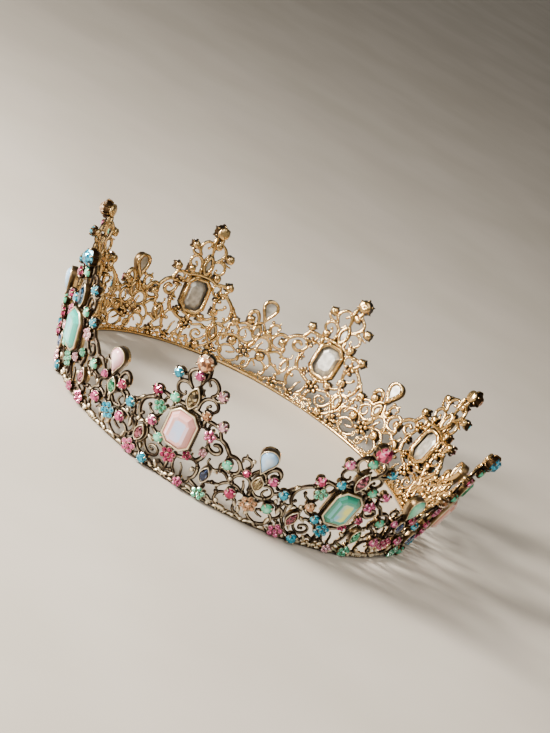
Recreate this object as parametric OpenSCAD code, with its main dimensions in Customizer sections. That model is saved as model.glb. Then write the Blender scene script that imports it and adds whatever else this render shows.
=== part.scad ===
// Baroque jewelled crown: a closed ring of eight pierced, cast panels on a round rim, set
// with cut stones. It stands on its rim, its axis upright, with the first panel to the front.
// Each panel's tables give an angle round the axis, in degrees from the middle of the panel's
// large octagon stone, and a height over the foot of the wall, in millimetres.

/* [Ring] */
// Radius of the wall's outer face at the rim
ring_r = 77; // [75:0.5:80]
// Lean of the wall, outward from the rim to the peaks, in degrees
flare = 13.5; // [10:0.5:15]
// Thickness of the cast wall
wall_t = 1.5; // [1.3:0.1:1.8]
// Height of the rim band
rim_h = 2.4; // [2:0.1:3]
// Thickness of the rim band
rim_t = 1.9; // [1.7:0.1:2.4]
// Length of the rim band below the panels
rim_drop = 0.9; // [0.8:0.1:1.4]

/* [Main stones] */
// Width of a peak's large octagon stone
octagon_w = 10.3; // [9:0.1:10.6]
// Length of a peak's large octagon stone
octagon_l = 14.2; // [12:0.1:14.4]
// Width of the corners cut off an octagon stone
octagon_corner = 2.5; // [2:0.1:2.8]
// Height of an octagon stone's table above the wall
octagon_rise = 3.8; // [3.4:0.1:4.2]
// Width of a pear stone
pear_w = 6.4; // [5.6:0.1:6.8]
// Length of a pear stone, from its round end to its point
pear_l = 9.7; // [8.4:0.1:10]
// Height of a pear stone above the wall
pear_rise = 3.6; // [3.2:0.1:4]
// Width of the long navette stone over each octagon
navette_w = 3.9; // [3.2:0.1:4.1]
// Length of the long navette stone over each octagon
navette_l = 8.6; // [7.4:0.1:8.8]
// Diameter of the round stone at a peak's tip
tip_d = 6.6; // [5.6:0.1:6.8]
// Height of a tip stone's table above the wall
tip_rise = 4.4; // [4:0.1:4.8]

/* [Settings] */
// Width of a bezel's rim around its stone
bezel_w = 0.9; // [0.8:0.05:1]
// Height of a bezel above the wall
bezel_h = 2.1; // [1.8:0.1:2.4]
// Space between a stone and the metal that holds it
seat_gap = 0.12; // [0.1:0.01:0.2]
// Width of the ledge under a stone that is set in a bezel
ledge_w = 0.8; // [0.6:0.1:1]

/* [Small stones] */
// Height of a small round stone above the wall
round_rise = 2.5; // [2:0.1:2.8]
// Height of a flower of small stones above the wall
flower_rise = 2.3; // [1.8:0.1:2.6]

/* [Hidden] */
panels = 8;
pitch = 360 / panels;
wall_sides = 5 * panels;
rim_sides = 6 * panels;
wall_corner = ring_r / cos(180 / wall_sides);
wall_top = 56;
cut_out = 6;
cut_in = 4;

OCTAGON_AT = [0, 21];
PEAR_AT = [21.9, 28.5];
NAVETTE_AT = [-0.3, 34];
TIP_AT = [-0.95, 48.4];

// Top edge of a peak, left to right: angle, height
PEAK_EDGE = [
    [-13.7, 0], [-13.7, 20.4], [-10.6, 26.4], [-10.8, 30.6], [-6.3, 30.8], [-6.3, 37.4], [-4.4, 39.4],
    [-3.8, 42], [-1.9, 45.8], [0, 45.8], [0.5, 44.4], [3, 43.6], [4.6, 41.4], [4.6, 39], [6.1, 36.4],
    [6.4, 32.2], [10.4, 32.2], [10.9, 28.2], [13.7, 21.6], [13.7, 0]
];
// Top edge of the valley between two peaks, behind the pear stone
VALLEY_EDGE = [
    [13.5, 0], [13.5, 21.6], [16.4, 21.5], [18, 24.4], [25.6, 24.8], [27.8, 20.7], [31.8, 20.4], [31.8, 0]
];
VALLEY_MIDDLE = 22.6;

// Gaps of one panel: angle, height, length, width, turn
GAPS = [
    [-2.7, 40.3, 5, 2.3, -10],
    [2.6, 40.5, 5, 3.4, 20],
    [-3.6, 34.1, 3.6, 3.6, 0],
    [4, 35, 4.2, 4.2, 0],
    [-10.6, 17.6, 7.6, 3.8, 0],
    [10, 20.9, 4.5, 4.5, 0],
    [10.6, 15.6, 4.7, 3, 90],
    [-5.1, 7.2, 4.8, 4.8, 0],
    [4.8, 7.4, 7, 6, 90],
    [14.4, 5.7, 4.2, 4.2, 0],
    [20, 14.4, 4.6, 4.6, 0],
    [25.8, 14.6, 4.6, 4.6, 0],
    [18.3, 3.7, 7.4, 3.4, 90],
    [29.2, 4, 5.8, 3.8, 90],
    [33.1, 16.3, 4, 4, 0]
];

// Discs of the wall that carry the stones outside its edge: angle, height, diameter
DISCS = [[-6, 39.3, 5.3], [5.7, 40.6, 4.9], [-0.95, 48.4, 7.9]];

// Small round stones of one panel: angle, height, diameter, colour of each panel's stone
ROUNDS = [
    [-1.1, 42.7, 4, "PMMBPTPM"],
    [-6, 39.3, 4.2, "TPRTBRMR"],
    [5.7, 40.6, 4, "BTTPRBTT"],
    [-4.4, 30.3, 4, "MTMCTPMT"],
    [-9.3, 28.6, 4.2, "RRCRMTRR"],
    [4.4, 30.9, 3.8, "CMBMPBPM"],
    [8.9, 30.4, 3.9, "BPTPCBTT"],
    [-7.6, 17.1, 4.1, "PCRTMPCB"],
    [-4.3, 12.9, 4, "MTPMBTPM"],
    [-6.2, 1.9, 4.3, "TTMRPTPT"],
    [14.1, 18.3, 4, "MMMTPMMM"],
    [18.2, 8.7, 4.5, "RPRMTRTP"],
    [25.8, 20.8, 4.1, "PRPTBPMR"],
    [29.9, 17.5, 4.3, "TTBTMTRT"],
    [28.2, 9.7, 4.4, "MPBRTMPP"]
];

// Small navettes: angle, height, width, length, turn, colour of each panel's stone
NAVETTES = [
    [10.3, 10.2, 3.2, 6.4, 0, "NMRCRNMR"],
    [-9.7, 9.8, 3.3, 6.5, -8, "RRNMCRCN"],
    [22.7, 17.4, 3.6, 6, 8, "CTNMRCRM"]
];

// Flowers of small stones: angle, height, diameter, petals, colour of each panel's flower
FLOWERS = [
    [-7.2, 23.4, 5.6, 5, "MMPBCMTP"],
    [7.1, 24.4, 5.1, 5, "PPBTMPMB"],
    [-0.3, 9, 6.6, 6, "RTPRMTPM"],
    [-11.4, 2.3, 6.2, 5, "PPMBTPRB"],
    [11.1, 2.2, 5.4, 5, "MMCMPBMP"],
    [23.6, 8, 7.1, 6, "CRTPMCRT"]
];

// Colours of the small stones by their letters
HUES = [
    ["T", "turquoise_stones", "#2fa9c9"],
    ["M", "mint_stones", "#7fd6b8"],
    ["R", "ruby_stones", "#b02a55"],
    ["P", "rose_stones", "#e27aa5"],
    ["B", "blush_stones", "#f0c9cd"],
    ["C", "champagne_stones", "#d9b08a"],
    ["N", "navy_stones", "#2a3550"]
];

// Colours of the main stones, panel by panel
OCTAGON_HUES = ["#f3bfb6", "#7fcfb0", "#f2b9a8", "#8fd6cf", "#f3bfb6", "#f2b9a8", "#8fd6cf", "#79d3c4"];
PEAR_HUES = ["#a9c3dd", "#8ed8bf", "#f0c3cc", "#a9c3dd", "#8ed8bf", "#f0c3cc", "#a9c3dd", "#f0c3cc"];
TIP_HUES = ["#e0b48c", "#d8476f", "#1f9fc0", "#e0b48c", "#d8476f", "#7fd6b8", "#f3d9c4", "#1f9fc0"];
NAVETTE_HUES = ["#6f6440", "#7a2b3c", "#2f7f63", "#2a3550", "#6f6440", "#7a2b3c", "#2f7f63", "#26486b"];

function numbered(stem) = [for (k = [1:panels]) str(stem, "_", k)];
FIELDS = [for (hue = HUES) hue[1]];
NODES = concat(["frame"], numbered("octagon"), numbered("pear"), numbered("navette"), numbered("tip"), FIELDS);
node = "all";

// Radius of the wall's outer face at a height over the rim
function wall_r(z) = wall_corner + z * tan(flare);

// Carries what is drawn flat, facing +Z and upright along +Y, to a place on the wall's outer face
module seat(at) {
    rotate([0, 0, at[0]]) translate([0, -wall_r(at[1]), at[1]]) rotate([90 + flare, 0, 0]) children();
}

module on_panel(k) {
    rotate([0, 0, k * pitch]) children();
}

// Stands the crown on the table, the rim's lower face at zero
module on_table() {
    translate([0, 0, rim_drop]) children();
}

function round_outline(d, sides) = [for (i = [0:sides - 1])
    d / 2 * [cos((i + 0.5) * 360 / sides), sin((i + 0.5) * 360 / sides)]];

function octagon_outline(w, l, c) = [
    [w / 2, c - l / 2], [w / 2, l / 2 - c], [w / 2 - c, l / 2], [c - w / 2, l / 2],
    [-w / 2, l / 2 - c], [-w / 2, c - l / 2], [c - w / 2, -l / 2], [w / 2 - c, -l / 2]
];

// A lens with two points, each side drawn in a number of equal steps
function navette_outline(w, l, steps) = [for (side = [1, -1], i = [0:steps - 1]) let (t = 2 * i / steps - 1)
    side * [w / 2 * (1 - t * t), t * l / 2]];

// A drop with its point down, about the middle of its round end
function pear_outline(w, l) = concat(
    [[0, w / 2 - l], [0.38 * w, -0.36 * w]],
    [for (a = [0:36:180]) w / 2 * [cos(a), sin(a)]],
    [[-0.38 * w, -0.36 * w]]);

function flower_outline(d, petals) = [for (i = [0:2 * petals - 1])
    d / 2 * (i % 2 == 0 ? 1 : 0.62) * [cos(180 * i / petals + 90), sin(180 * i / petals + 90)]];

// A closed solid through copies of one outline: each layer is a scale of the outline and a height
module layered(outline, layers) {
    n = len(outline);
    last = len(layers) - 1;
    points = [for (layer = layers, p = outline) [p[0] * layer[0], p[1] * layer[0], layer[1]]];
    bottom = [for (i = [0:n - 1]) i];
    top = [for (i = [0:n - 1]) last * n + n - 1 - i];
    sides = [for (k = [0:last - 1], i = [0:n - 1]) let (j = (i + 1) % n)
        [k * n + i, (k + 1) * n + i, (k + 1) * n + j, k * n + j]];
    polyhedron(points, concat([bottom, top], sides), convexity = 4);
}

module octagon_stone() {
    layered(octagon_outline(octagon_w, octagon_l, octagon_corner), [
        [1, seat_gap], [1, bezel_h], [0.82, octagon_rise - 0.5], [0.6, octagon_rise]]);
}

module pear_stone() {
    layered(pear_outline(pear_w, pear_l), [[1, seat_gap], [1, bezel_h], [0.8, pear_rise - 0.5], [0.45, pear_rise]]);
}

module navette_stone() {
    layered(navette_outline(navette_w, navette_l, 4), [[1, seat_gap], [0.5, 2.6]]);
}

module tip_stone() {
    layered(round_outline(tip_d, 8), [[0.4, seat_gap], [1, 3], [0.58, tip_rise]]);
}

module small_stone(outline, rise) {
    layered(outline, [[1, seat_gap], [0.6, rise]]);
}

// Cuts a gap through the wall, round at both ends
module gap_cut(length, width, turn) {
    rotate([0, 0, turn]) translate([0, 0, -cut_in]) linear_extrude(cut_in + cut_out) hull() {
        for (end = [1, -1]) translate([0, end * (length - width) / 2]) circle(d = width, $fn = 6);
    }
}

// The conical wall between the rim and an edge, before it is pierced
module wall_part(edge, middle) {
    intersection() {
        rotate([0, 0, -90]) rotate_extrude($fn = wall_sides) polygon([
            [wall_corner - wall_t, 0],
            [wall_corner, 0],
            [wall_r(wall_top), wall_top],
            [wall_r(wall_top) - wall_t, wall_top]
        ]);
        rotate([90, 0, middle]) linear_extrude(2 * ring_r)
            polygon([for (p = edge) [wall_r(p[1]) * sin(p[0] - middle), p[1]]]);
    }
}

// A prism over an outline, from one height over the wall to another
module plate(outline, low, high) {
    translate([0, 0, low]) linear_extrude(high - low) polygon(outline);
}

module panel_body() {
    wall_part(PEAK_EDGE, 0);
    wall_part(VALLEY_EDGE, VALLEY_MIDDLE);
    for (disc = DISCS) seat(disc) plate(round_outline(disc[2], 6), -wall_t, 0);
    seat(OCTAGON_AT)
        plate(octagon_outline(octagon_w + 2 * bezel_w, octagon_l + 2 * bezel_w, octagon_corner + 0.4), -wall_t, bezel_h);
    seat(PEAR_AT) plate(pear_outline(pear_w + 2 * bezel_w, pear_l + 3 * bezel_w), -wall_t, bezel_h);
}

module panel_cuts() {
    for (gap = GAPS) seat(gap) gap_cut(gap[2], gap[3], gap[4]);
    seat(OCTAGON_AT) {
        plate(octagon_outline(octagon_w - 2 * ledge_w, octagon_l - 2 * ledge_w, octagon_corner - 0.4), -cut_in, cut_out);
        plate(octagon_outline(octagon_w + 2 * seat_gap, octagon_l + 2 * seat_gap, octagon_corner), 0, cut_out);
    }
    seat(PEAR_AT) {
        plate(pear_outline(pear_w - 2 * ledge_w, pear_l - 3 * ledge_w), -cut_in, cut_out);
        plate(pear_outline(pear_w + 2 * seat_gap, pear_l + 3 * seat_gap), 0, cut_out);
    }
}

module rim() {
    rotate_extrude($fn = rim_sides) translate([ring_r - rim_t, -rim_drop]) square([rim_t, rim_h]);
}

module frame() {
    color("#8a7448") {
        difference() {
            for (k = [0:panels - 1]) on_panel(k) panel_body();
            for (k = [0:panels - 1]) on_panel(k) panel_cuts();
        }
        rim();
    }
}

// Every small stone of one colour, round the crown
module field(hue) {
    color(hue[2]) for (k = [0:panels - 1]) on_panel(k) {
        for (s = ROUNDS) if (s[3][k] == hue[0]) seat(s) small_stone(round_outline(s[2], 7), round_rise);
        for (s = NAVETTES) if (s[5][k] == hue[0])
            seat(s) rotate([0, 0, s[4]]) small_stone(navette_outline(s[2], s[3], 3), round_rise);
        for (s = FLOWERS) if (s[4][k] == hue[0]) seat(s) small_stone(flower_outline(s[2], s[3]), flower_rise);
    }
}

module set_stone(k, at, hue) {
    color(hue) on_table() on_panel(k) seat(at) children();
}

function shown(name) = node == "all" || node == name;

if (shown("frame")) on_table() frame();
for (k = [0:panels - 1]) {
    if (shown(str("octagon_", k + 1))) set_stone(k, OCTAGON_AT, OCTAGON_HUES[k]) octagon_stone();
    if (shown(str("pear_", k + 1))) set_stone(k, PEAR_AT, PEAR_HUES[k]) pear_stone();
    if (shown(str("navette_", k + 1))) set_stone(k, NAVETTE_AT, NAVETTE_HUES[k]) navette_stone();
    if (shown(str("tip_", k + 1))) set_stone(k, TIP_AT, TIP_HUES[k]) tip_stone();
}
for (hue = HUES) if (shown(hue[1])) on_table() field(hue);
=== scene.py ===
"""Dresses a baroque jewelled crown: cast antique gold scrollwork, opal glass and foiled crystal.

The crown is a closed ring of eight equal panels that stands on its rim. A place on a panel is an
angle round the axis, in degrees from the middle of the panel's octagon stone, and a height over
the foot of the wall, in millimetres. Shapes are worked out in millimetres and made in metres.
"""

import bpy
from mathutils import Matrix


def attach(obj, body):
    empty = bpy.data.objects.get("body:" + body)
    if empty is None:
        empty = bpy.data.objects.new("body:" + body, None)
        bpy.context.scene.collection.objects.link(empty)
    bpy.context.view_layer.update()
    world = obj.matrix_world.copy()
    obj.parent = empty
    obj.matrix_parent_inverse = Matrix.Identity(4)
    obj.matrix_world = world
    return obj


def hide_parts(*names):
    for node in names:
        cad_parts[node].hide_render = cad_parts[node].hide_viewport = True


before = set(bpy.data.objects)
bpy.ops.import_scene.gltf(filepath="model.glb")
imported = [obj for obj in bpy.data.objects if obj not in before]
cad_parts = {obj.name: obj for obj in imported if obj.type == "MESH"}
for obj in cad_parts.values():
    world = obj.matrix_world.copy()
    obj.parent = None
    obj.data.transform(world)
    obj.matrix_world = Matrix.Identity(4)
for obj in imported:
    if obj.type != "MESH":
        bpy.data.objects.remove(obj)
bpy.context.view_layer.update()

import logging
import math
from dataclasses import dataclass, field
from enum import Enum, IntEnum

import bpy
from mathutils import Matrix, Vector

LOG = logging.getLogger("crown")
ROOT = "root"
MM = 0.001
PANELS = 8
PITCH = 360.0 / PANELS
FULL_TURN = 2 * math.pi

# Two values that a stone's mesh carries: how near a point is to the stone's heart, and the painted
# reflection of each facet, the share of light that the facet is painted to throw back
HEART = "heart"
FACET_REFLECTION = "facet"

# How the painted reflections differ: the step from facet to facet and from ring to ring, the
# contrast, the painted reflection of the table, and how they move on from one stone of a piece to the next
GOLDEN = 0.618
RING_STEP = 0.37
REFLECTION_CONTRAST = 1.4
TABLE_REFLECTION = 0.4
FACES_A_STEP = 7
MOST_STEP = 0.3

Place = tuple[float, float]
Outline = list[tuple[float, float]]
Section = list[tuple[float, float]]
Steps = tuple[tuple[float, float, float], ...]
Stops = tuple[tuple[float, str], ...]


class Metal(IntEnum):
    """The finishes of a cast piece, in the order of its materials."""

    CASTING = 0
    EDGES = 1
    CUPS = 2


class StoneFace(IntEnum):
    """The finishes of a piece of stones, in the order of its materials."""

    FRONT = 0
    FOIL = 1
    FLOWER = 2
    NAVETTE = 3


# Solids and meshes

def between(low: float, high: float, t: float) -> float:
    """Blends two numbers.

    Args:
        low: The number at t = 0.
        high: The number at t = 1.
        t: The share of the way from low to high.

    Returns:
        The blended number.
    """
    return low + (high - low) * t


def through(places: tuple[Place, ...], steps: int) -> list[Place]:
    """Runs a smooth curve through places, as a bent wire does.

    Each stretch is a cubic whose direction at a place is that from the one before to the one after.

    Args:
        places: The places that the curve passes, in order.
        steps: The number of short stretches between two places.

    Returns:
        Close places along the curve.
    """
    first = (2 * places[0][0] - places[1][0], 2 * places[0][1] - places[1][1])
    last = (2 * places[-1][0] - places[-2][0], 2 * places[-1][1] - places[-2][1])
    held = [first, *places, last]
    curve = []
    for i in range(1, len(held) - 2):
        before, start, end, after = held[i - 1:i + 3]
        for step in range(steps):
            t = step / steps
            curve.append(tuple(
                0.5 * (2 * start[c] + (end[c] - before[c]) * t
                       + (2 * before[c] - 5 * start[c] + 4 * end[c] - after[c]) * t ** 2
                       + (3 * start[c] - before[c] - 3 * end[c] + after[c]) * t ** 3)
                for c in (0, 1)))
    curve.append(tuple(places[-1]))
    return curve


def grown(outline: Outline, distance: float) -> Outline:
    """Moves a closed outline's edges outward by a distance.

    Args:
        outline: Corners in counter-clockwise order.
        distance: How far out the edges move; in, where it is negative.

    Returns:
        The moved corners, in the same order.
    """
    moved = []
    count = len(outline)
    # A sharp corner moves out no further than 1 / 0.45 of the distance
    sharpest = 0.45
    for i, (x, y) in enumerate(outline):
        back = Vector((x - outline[i - 1][0], y - outline[i - 1][1])).normalized()
        on = Vector((outline[(i + 1) % count][0] - x, outline[(i + 1) % count][1] - y)).normalized()
        normal = Vector((back.y + on.y, -back.x - on.x)).normalized()
        spread = max(sharpest, normal.dot(Vector((on.y, -on.x))))
        moved.append((x + normal.x * distance / spread, y + normal.y * distance / spread))
    return moved


def scaled(outline: Outline, share: float) -> Outline:
    """Shrinks an outline towards its origin.

    Args:
        outline: Corners of the outline.
        share: The share of the size that is kept.

    Returns:
        The corners of the smaller outline.
    """
    return [(x * share, y * share) for x, y in outline]


def ring(outline: Outline, height: float) -> list[Vector]:
    """Lifts a flat outline to a height.

    Args:
        outline: Corners of the outline.
        height: The height over the seat.

    Returns:
        The corners in space.
    """
    return [Vector((x, y, height)) for x, y in outline]


def disc(diameter: float, sides: int, turned: float = 0.0) -> Outline:
    """Draws a regular outline.

    Args:
        diameter: The diameter through its corners.
        sides: The number of sides.
        turned: The turn, in sides.

    Returns:
        Corners in counter-clockwise order.
    """
    turns = [FULL_TURN * (i + turned) / sides for i in range(sides)]
    return [(diameter / 2 * math.cos(a), diameter / 2 * math.sin(a)) for a in turns]


def octagon(width: float, length: float, corner: float) -> Outline:
    """Draws a rectangle with cut corners, counter-clockwise.

    Args:
        width: The width across.
        length: The length along the panel's height.
        corner: The width that is cut off each corner.

    Returns:
        The eight corners.
    """
    w, h = width / 2, length / 2
    return [(w, corner - h), (w, h - corner), (w - corner, h), (corner - w, h),
            (-w, h - corner), (-w, corner - h), (corner - w, -h), (w - corner, -h)]


def lens(width: float, length: float, steps: int) -> Outline:
    """Draws a lens with two points, as a navette stone has, counter-clockwise.

    Args:
        width: The width across the middle.
        length: The length from point to point.
        steps: The number of stretches along each side.

    Returns:
        The corners of the outline.
    """
    stretches = [2 * i / steps - 1 for i in range(steps)]
    return [(side * width / 2 * (1 - t * t), side * t * length / 2)
            for side in (1, -1) for t in stretches]


def drop(width: float, length: float, steps: int) -> Outline:
    """Draws a drop with its point down, about the middle of its round end, counter-clockwise.

    Args:
        width: The diameter of the round end.
        length: The length from the round end's top to the point.
        steps: The number of stretches round the round end.

    Returns:
        The corners of the outline.
    """
    r = width / 2
    tip = r - length
    # From the point, each flank bulges a little on its way to the round end
    right = [(0.0, tip), (0.20 * width, tip + 0.26 * length), (0.39 * width, tip + 0.46 * length)]
    turns = [math.pi * i / steps for i in range(steps + 1)]
    arc = [(r * math.cos(a), r * math.sin(a)) for a in turns]
    left = [(-x, y) for x, y in reversed(right[1:])]
    return right + arc + left


@dataclass
class Casting:
    """Gathers the faces of one piece, in millimetres, with a finish for each face."""

    points: list[Vector] = field(default_factory=list)
    faces: list[tuple[int, ...]] = field(default_factory=list)
    flats: list[bool] = field(default_factory=list)
    finishes: list[int] = field(default_factory=list)
    hearts: list[float] = field(default_factory=list)
    facets: list[float] = field(default_factory=list)

    def face(self, corners: tuple[int, ...], flat: bool, finish: int, facet: float = 0.0) -> None:
        """Adds one face.

        Args:
            corners: Indices of its points, counter-clockwise from outside.
            flat: Whether it is shaded flat.
            finish: The index of its finish.
            facet: The painted reflection of this facet: the share of light that it is painted to throw
                back, from 0 to 1.
        """
        self.faces.append(corners)
        self.flats.append(flat)
        self.finishes.append(finish)
        self.facets.append(facet)

    def loft(self, rings: list[list[Vector]], at: Matrix, joined: bool = False, capped: bool = True,
             flat: bool = False, finish: int = Metal.CASTING, back: int | None = None,
             hearts: tuple[float, ...] = ()) -> None:
        """Skins a row of equal rings, from the lowest to the highest.

        Args:
            rings: The rings' points, counter-clockwise from above.
            at: The seat that the rings are drawn on.
            joined: Whether the last ring joins the first, as in a hollow band.
            capped: Whether the two ends are closed.
            flat: Whether the faces are shaded flat.
            finish: The index of the finish.
            back: The finish of the lowest band and cap, where it is another one.
            hearts: How near each ring is to the stone's heart, from 0 to 1.
        """
        base = len(self.points)
        n = len(rings[0])
        for k, one in enumerate(rings):
            self.points.extend(at @ p for p in one)
            self.hearts.extend([hearts[k] if hearts else 0.0] * n)
        count = len(rings)
        under = finish if back is None else back
        for k in range(count if joined else count - 1):
            low, high = base + k * n, base + (k + 1) % count * n
            for i in range(n):
                j = (i + 1) % n
                # Each flat facet gets its own painted reflection, and the table below a fixed one
                facet = ((GOLDEN * i + RING_STEP * k) % 1.0) ** REFLECTION_CONTRAST if flat else 0.0
                self.face((low + i, low + j, high + j, high + i), flat, finish if k else under, facet)
        if capped and not joined:
            top = base + (count - 1) * n
            self.face(tuple(base + n - 1 - i for i in range(n)), True, under)
            self.face(tuple(top + i for i in range(n)), True, finish, TABLE_REFLECTION if flat else 0.0)

    def tube(self, path: list[Vector], radii: list[float], sides: int, closed: bool = False,
             finish: int = Metal.CASTING) -> None:
        """Sweeps a round section along a path.

        Args:
            path: Points along the middle of the wire.
            radii: The wire's radius at each point.
            sides: The number of sides of its section.
            closed: Whether the path's end joins its start.
            finish: The index of the finish.
        """
        count = len(path)
        turns = [FULL_TURN * k / sides for k in range(sides)]
        rings = []
        aside = None
        for i, p in enumerate(path):
            ahead = path[(i + 1) % count] if closed or i < count - 1 else p
            behind = path[i - 1] if closed or i > 0 else p
            along = (ahead - behind).normalized()
            if aside is None:
                aside = along.orthogonal().normalized()
            aside = (aside - along * aside.dot(along)).normalized()
            other = along.cross(aside)
            rings.append([p + radii[i] * (math.cos(a) * aside + math.sin(a) * other) for a in turns])
        if closed:
            # The section has turned on its way round, so the last ring meets its nearest corner
            best = min(range(sides), key=lambda k: (rings[-1][0] - rings[0][k]).length)
            rings.append(rings[0][best:] + rings[0][:best])
        self.loft(rings, Matrix.Identity(4), capped=not closed, finish=finish)

    def ball(self, centre: Vector, radius: float, finish: int = Metal.CASTING,
             squash: float = 1.0) -> None:
        """Adds a small cast ball.

        Args:
            centre: The middle of the ball.
            radius: Its radius.
            finish: The index of the finish.
            squash: Its height, as a share of its width.
        """
        levels, sides, pole = 6, 9, 0.04
        turns = [FULL_TURN * i / sides for i in range(sides)]
        rings = []
        for k in range(levels + 1):
            lean = math.pi * (pole + (1 - 2 * pole) * k / levels)
            wide = radius * math.sin(lean)
            tall = -radius * squash * math.cos(lean)
            rings.append([Vector((wide * math.cos(a), wide * math.sin(a), tall)) for a in turns])
        self.loft(rings, Matrix.Translation(centre), finish=finish)

    def band(self, outline: Outline, profile: Section, at: Matrix, finish: int) -> None:
        """Runs a closed section round an outline, as a bezel's metal strip.

        Args:
            outline: The outline that the strip follows.
            profile: The section's corners: distance out from the outline, and height.
            at: The seat.
            finish: The index of the finish.
        """
        rings = [ring(grown(outline, out), height) for out, height in profile]
        self.loft(rings, at, joined=True, finish=finish)

    def add(self, other: "Casting", at: Matrix, front: int = StoneFace.FRONT) -> None:
        """Adds a copy of another casting, such as one more stone of the same cut.

        Args:
            other: The casting that is copied.
            at: Where the copy goes.
            front: The finish that takes the place of the first one.
        """
        base = len(self.points)
        # The painted reflections move on a little from one stone to the next
        turned = GOLDEN * len(self.faces) / FACES_A_STEP % MOST_STEP
        self.points.extend(at @ p for p in other.points)
        self.faces.extend(tuple(base + i for i in corners) for corners in other.faces)
        self.flats.extend(other.flats)
        self.finishes.extend(finish or front for finish in other.finishes)
        self.hearts.extend(other.hearts)
        self.facets.extend(min(1.0, facet + turned) for facet in other.facets)

    def mesh(self, name: str, finishes: list[bpy.types.Material]) -> bpy.types.Mesh:
        """Makes the Blender mesh, in metres.

        Args:
            name: The mesh's name.
            finishes: The materials, in the order of the faces' finish indices.

        Returns:
            The mesh.
        """
        mesh = bpy.data.meshes.new(name)
        mesh.from_pydata([p * MM for p in self.points], [], self.faces)
        mesh.polygons.foreach_set("use_smooth", [not flat for flat in self.flats])
        mesh.polygons.foreach_set("material_index", [int(finish) for finish in self.finishes])
        for finish in finishes:
            mesh.materials.append(finish)
        if any(self.hearts):
            mesh.attributes.new(HEART, "FLOAT", "POINT").data.foreach_set("value", self.hearts)
        if any(self.facets):
            mesh.attributes.new(FACET_REFLECTION, "FLOAT", "FACE").data.foreach_set("value", self.facets)
        mesh.update()
        return mesh


def show(mesh: bpy.types.Mesh, name: str, node: str) -> bpy.types.Object:
    """Puts a mesh into the scene as a piece of the crown.

    Args:
        mesh: The piece's mesh.
        name: The piece's name.
        node: The CAD node that it replaces.

    Returns:
        The piece.
    """
    piece = bpy.data.objects.new(name, mesh)
    bpy.context.scene.collection.objects.link(piece)
    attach(piece, ROOT)
    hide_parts(node)
    LOG.info("%s: %d faces", name, len(mesh.polygons))
    return piece


# The crown's measures

@dataclass(frozen=True)
class Wall:
    """The leaning wall that every panel lies on: its outer face is a cone."""

    foot_radius: float = 77.24
    lean_deg: float = 13.5
    foot_height: float = 0.9

    def radius(self, height: float) -> float:
        """Returns the outer face's radius at a height over the wall's foot."""
        return self.foot_radius + height * math.tan(math.radians(self.lean_deg))

    def seat(self, place: Place, turn_deg: float = 0.0, lift: float = 0.0) -> Matrix:
        """Finds the seat of something drawn flat, facing +Z and upright along +Y.

        Args:
            place: Angle and height on the wall.
            turn_deg: The turn of the drawing on the wall.
            lift: The distance out from the wall's outer face.

        Returns:
            The matrix that carries the drawing there.
        """
        turn = Matrix.Rotation(math.radians(place[0]), 4, "Z")
        out = Matrix.Translation((0.0, -self.radius(place[1]), place[1] + self.foot_height))
        lean = Matrix.Rotation(math.radians(90 + self.lean_deg), 4, "X")
        spin = Matrix.Rotation(math.radians(turn_deg), 4, "Z")
        return turn @ out @ lean @ spin @ Matrix.Translation((0.0, 0.0, lift))

    def point(self, place: Place, lift: float) -> Vector:
        """Finds a point over the wall's outer face.

        Args:
            place: Angle and height on the wall.
            lift: The distance out from the outer face.

        Returns:
            The point.
        """
        return self.seat(place, lift=lift).translation.copy()


WALL = Wall()


def panel_turn(k: int) -> Matrix:
    """Returns the turn from the first panel to the one that is k panels on."""
    return Matrix.Rotation(math.radians(k * PITCH), 4, "Z")


class Hue(Enum):
    """The colours of the small stones: letter in the tables, deep, body and bright colour."""

    TURQUOISE = ("T", "#023846", "#0490b2", "#38cbea")
    MINT = ("M", "#1a6a52", "#40b089", "#93e3c5")
    RUBY = ("R", "#2e0416", "#940f45", "#dd4a88")
    ROSE = ("P", "#5a1236", "#c0407e", "#f28cb9")
    BLUSH = ("B", "#783c4b", "#d48fa3", "#f9d3dc")
    CHAMPAGNE = ("C", "#4a2a15", "#a87045", "#efc196")
    NAVY = ("N", "#050912", "#182542", "#5a72a8")

    @property
    def letter(self) -> str:
        """The hue's letter in the tables."""
        return self.value[0]

    @property
    def tones(self) -> tuple[str, str, str]:
        """The deep, body and bright colour."""
        return self.value[1:]

    @property
    def node(self) -> str:
        """The CAD node of the hue's stones."""
        return f"{self.name.lower()}_stones"

    @property
    def slot(self) -> str:
        """The name that the hue's materials are built on."""
        return f"{self.name.lower()}_crystal"

    @property
    def milky(self) -> bool:
        """Whether round stones of this hue are smooth opal drops and not cut crystal."""
        return self is Hue.MINT


@dataclass(frozen=True)
class Wire:
    """One scroll wire: the places it passes, its radius at both ends, its end bead and its lift."""

    places: tuple[Place, ...]
    start: float = 0.6
    end: float = 0.6
    bead: float = 0.0
    lift: float = -0.7


@dataclass(frozen=True)
class RoundStone:
    """A small round stone: its place, diameter, the panels' colours and how many claws hold it."""

    place: Place
    diameter: float
    hues: str
    claws: int = 4

    @property
    def starred(self) -> bool:
        """Whether it has the star cut, as the stones under five claws have."""
        return self.claws == 5


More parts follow.
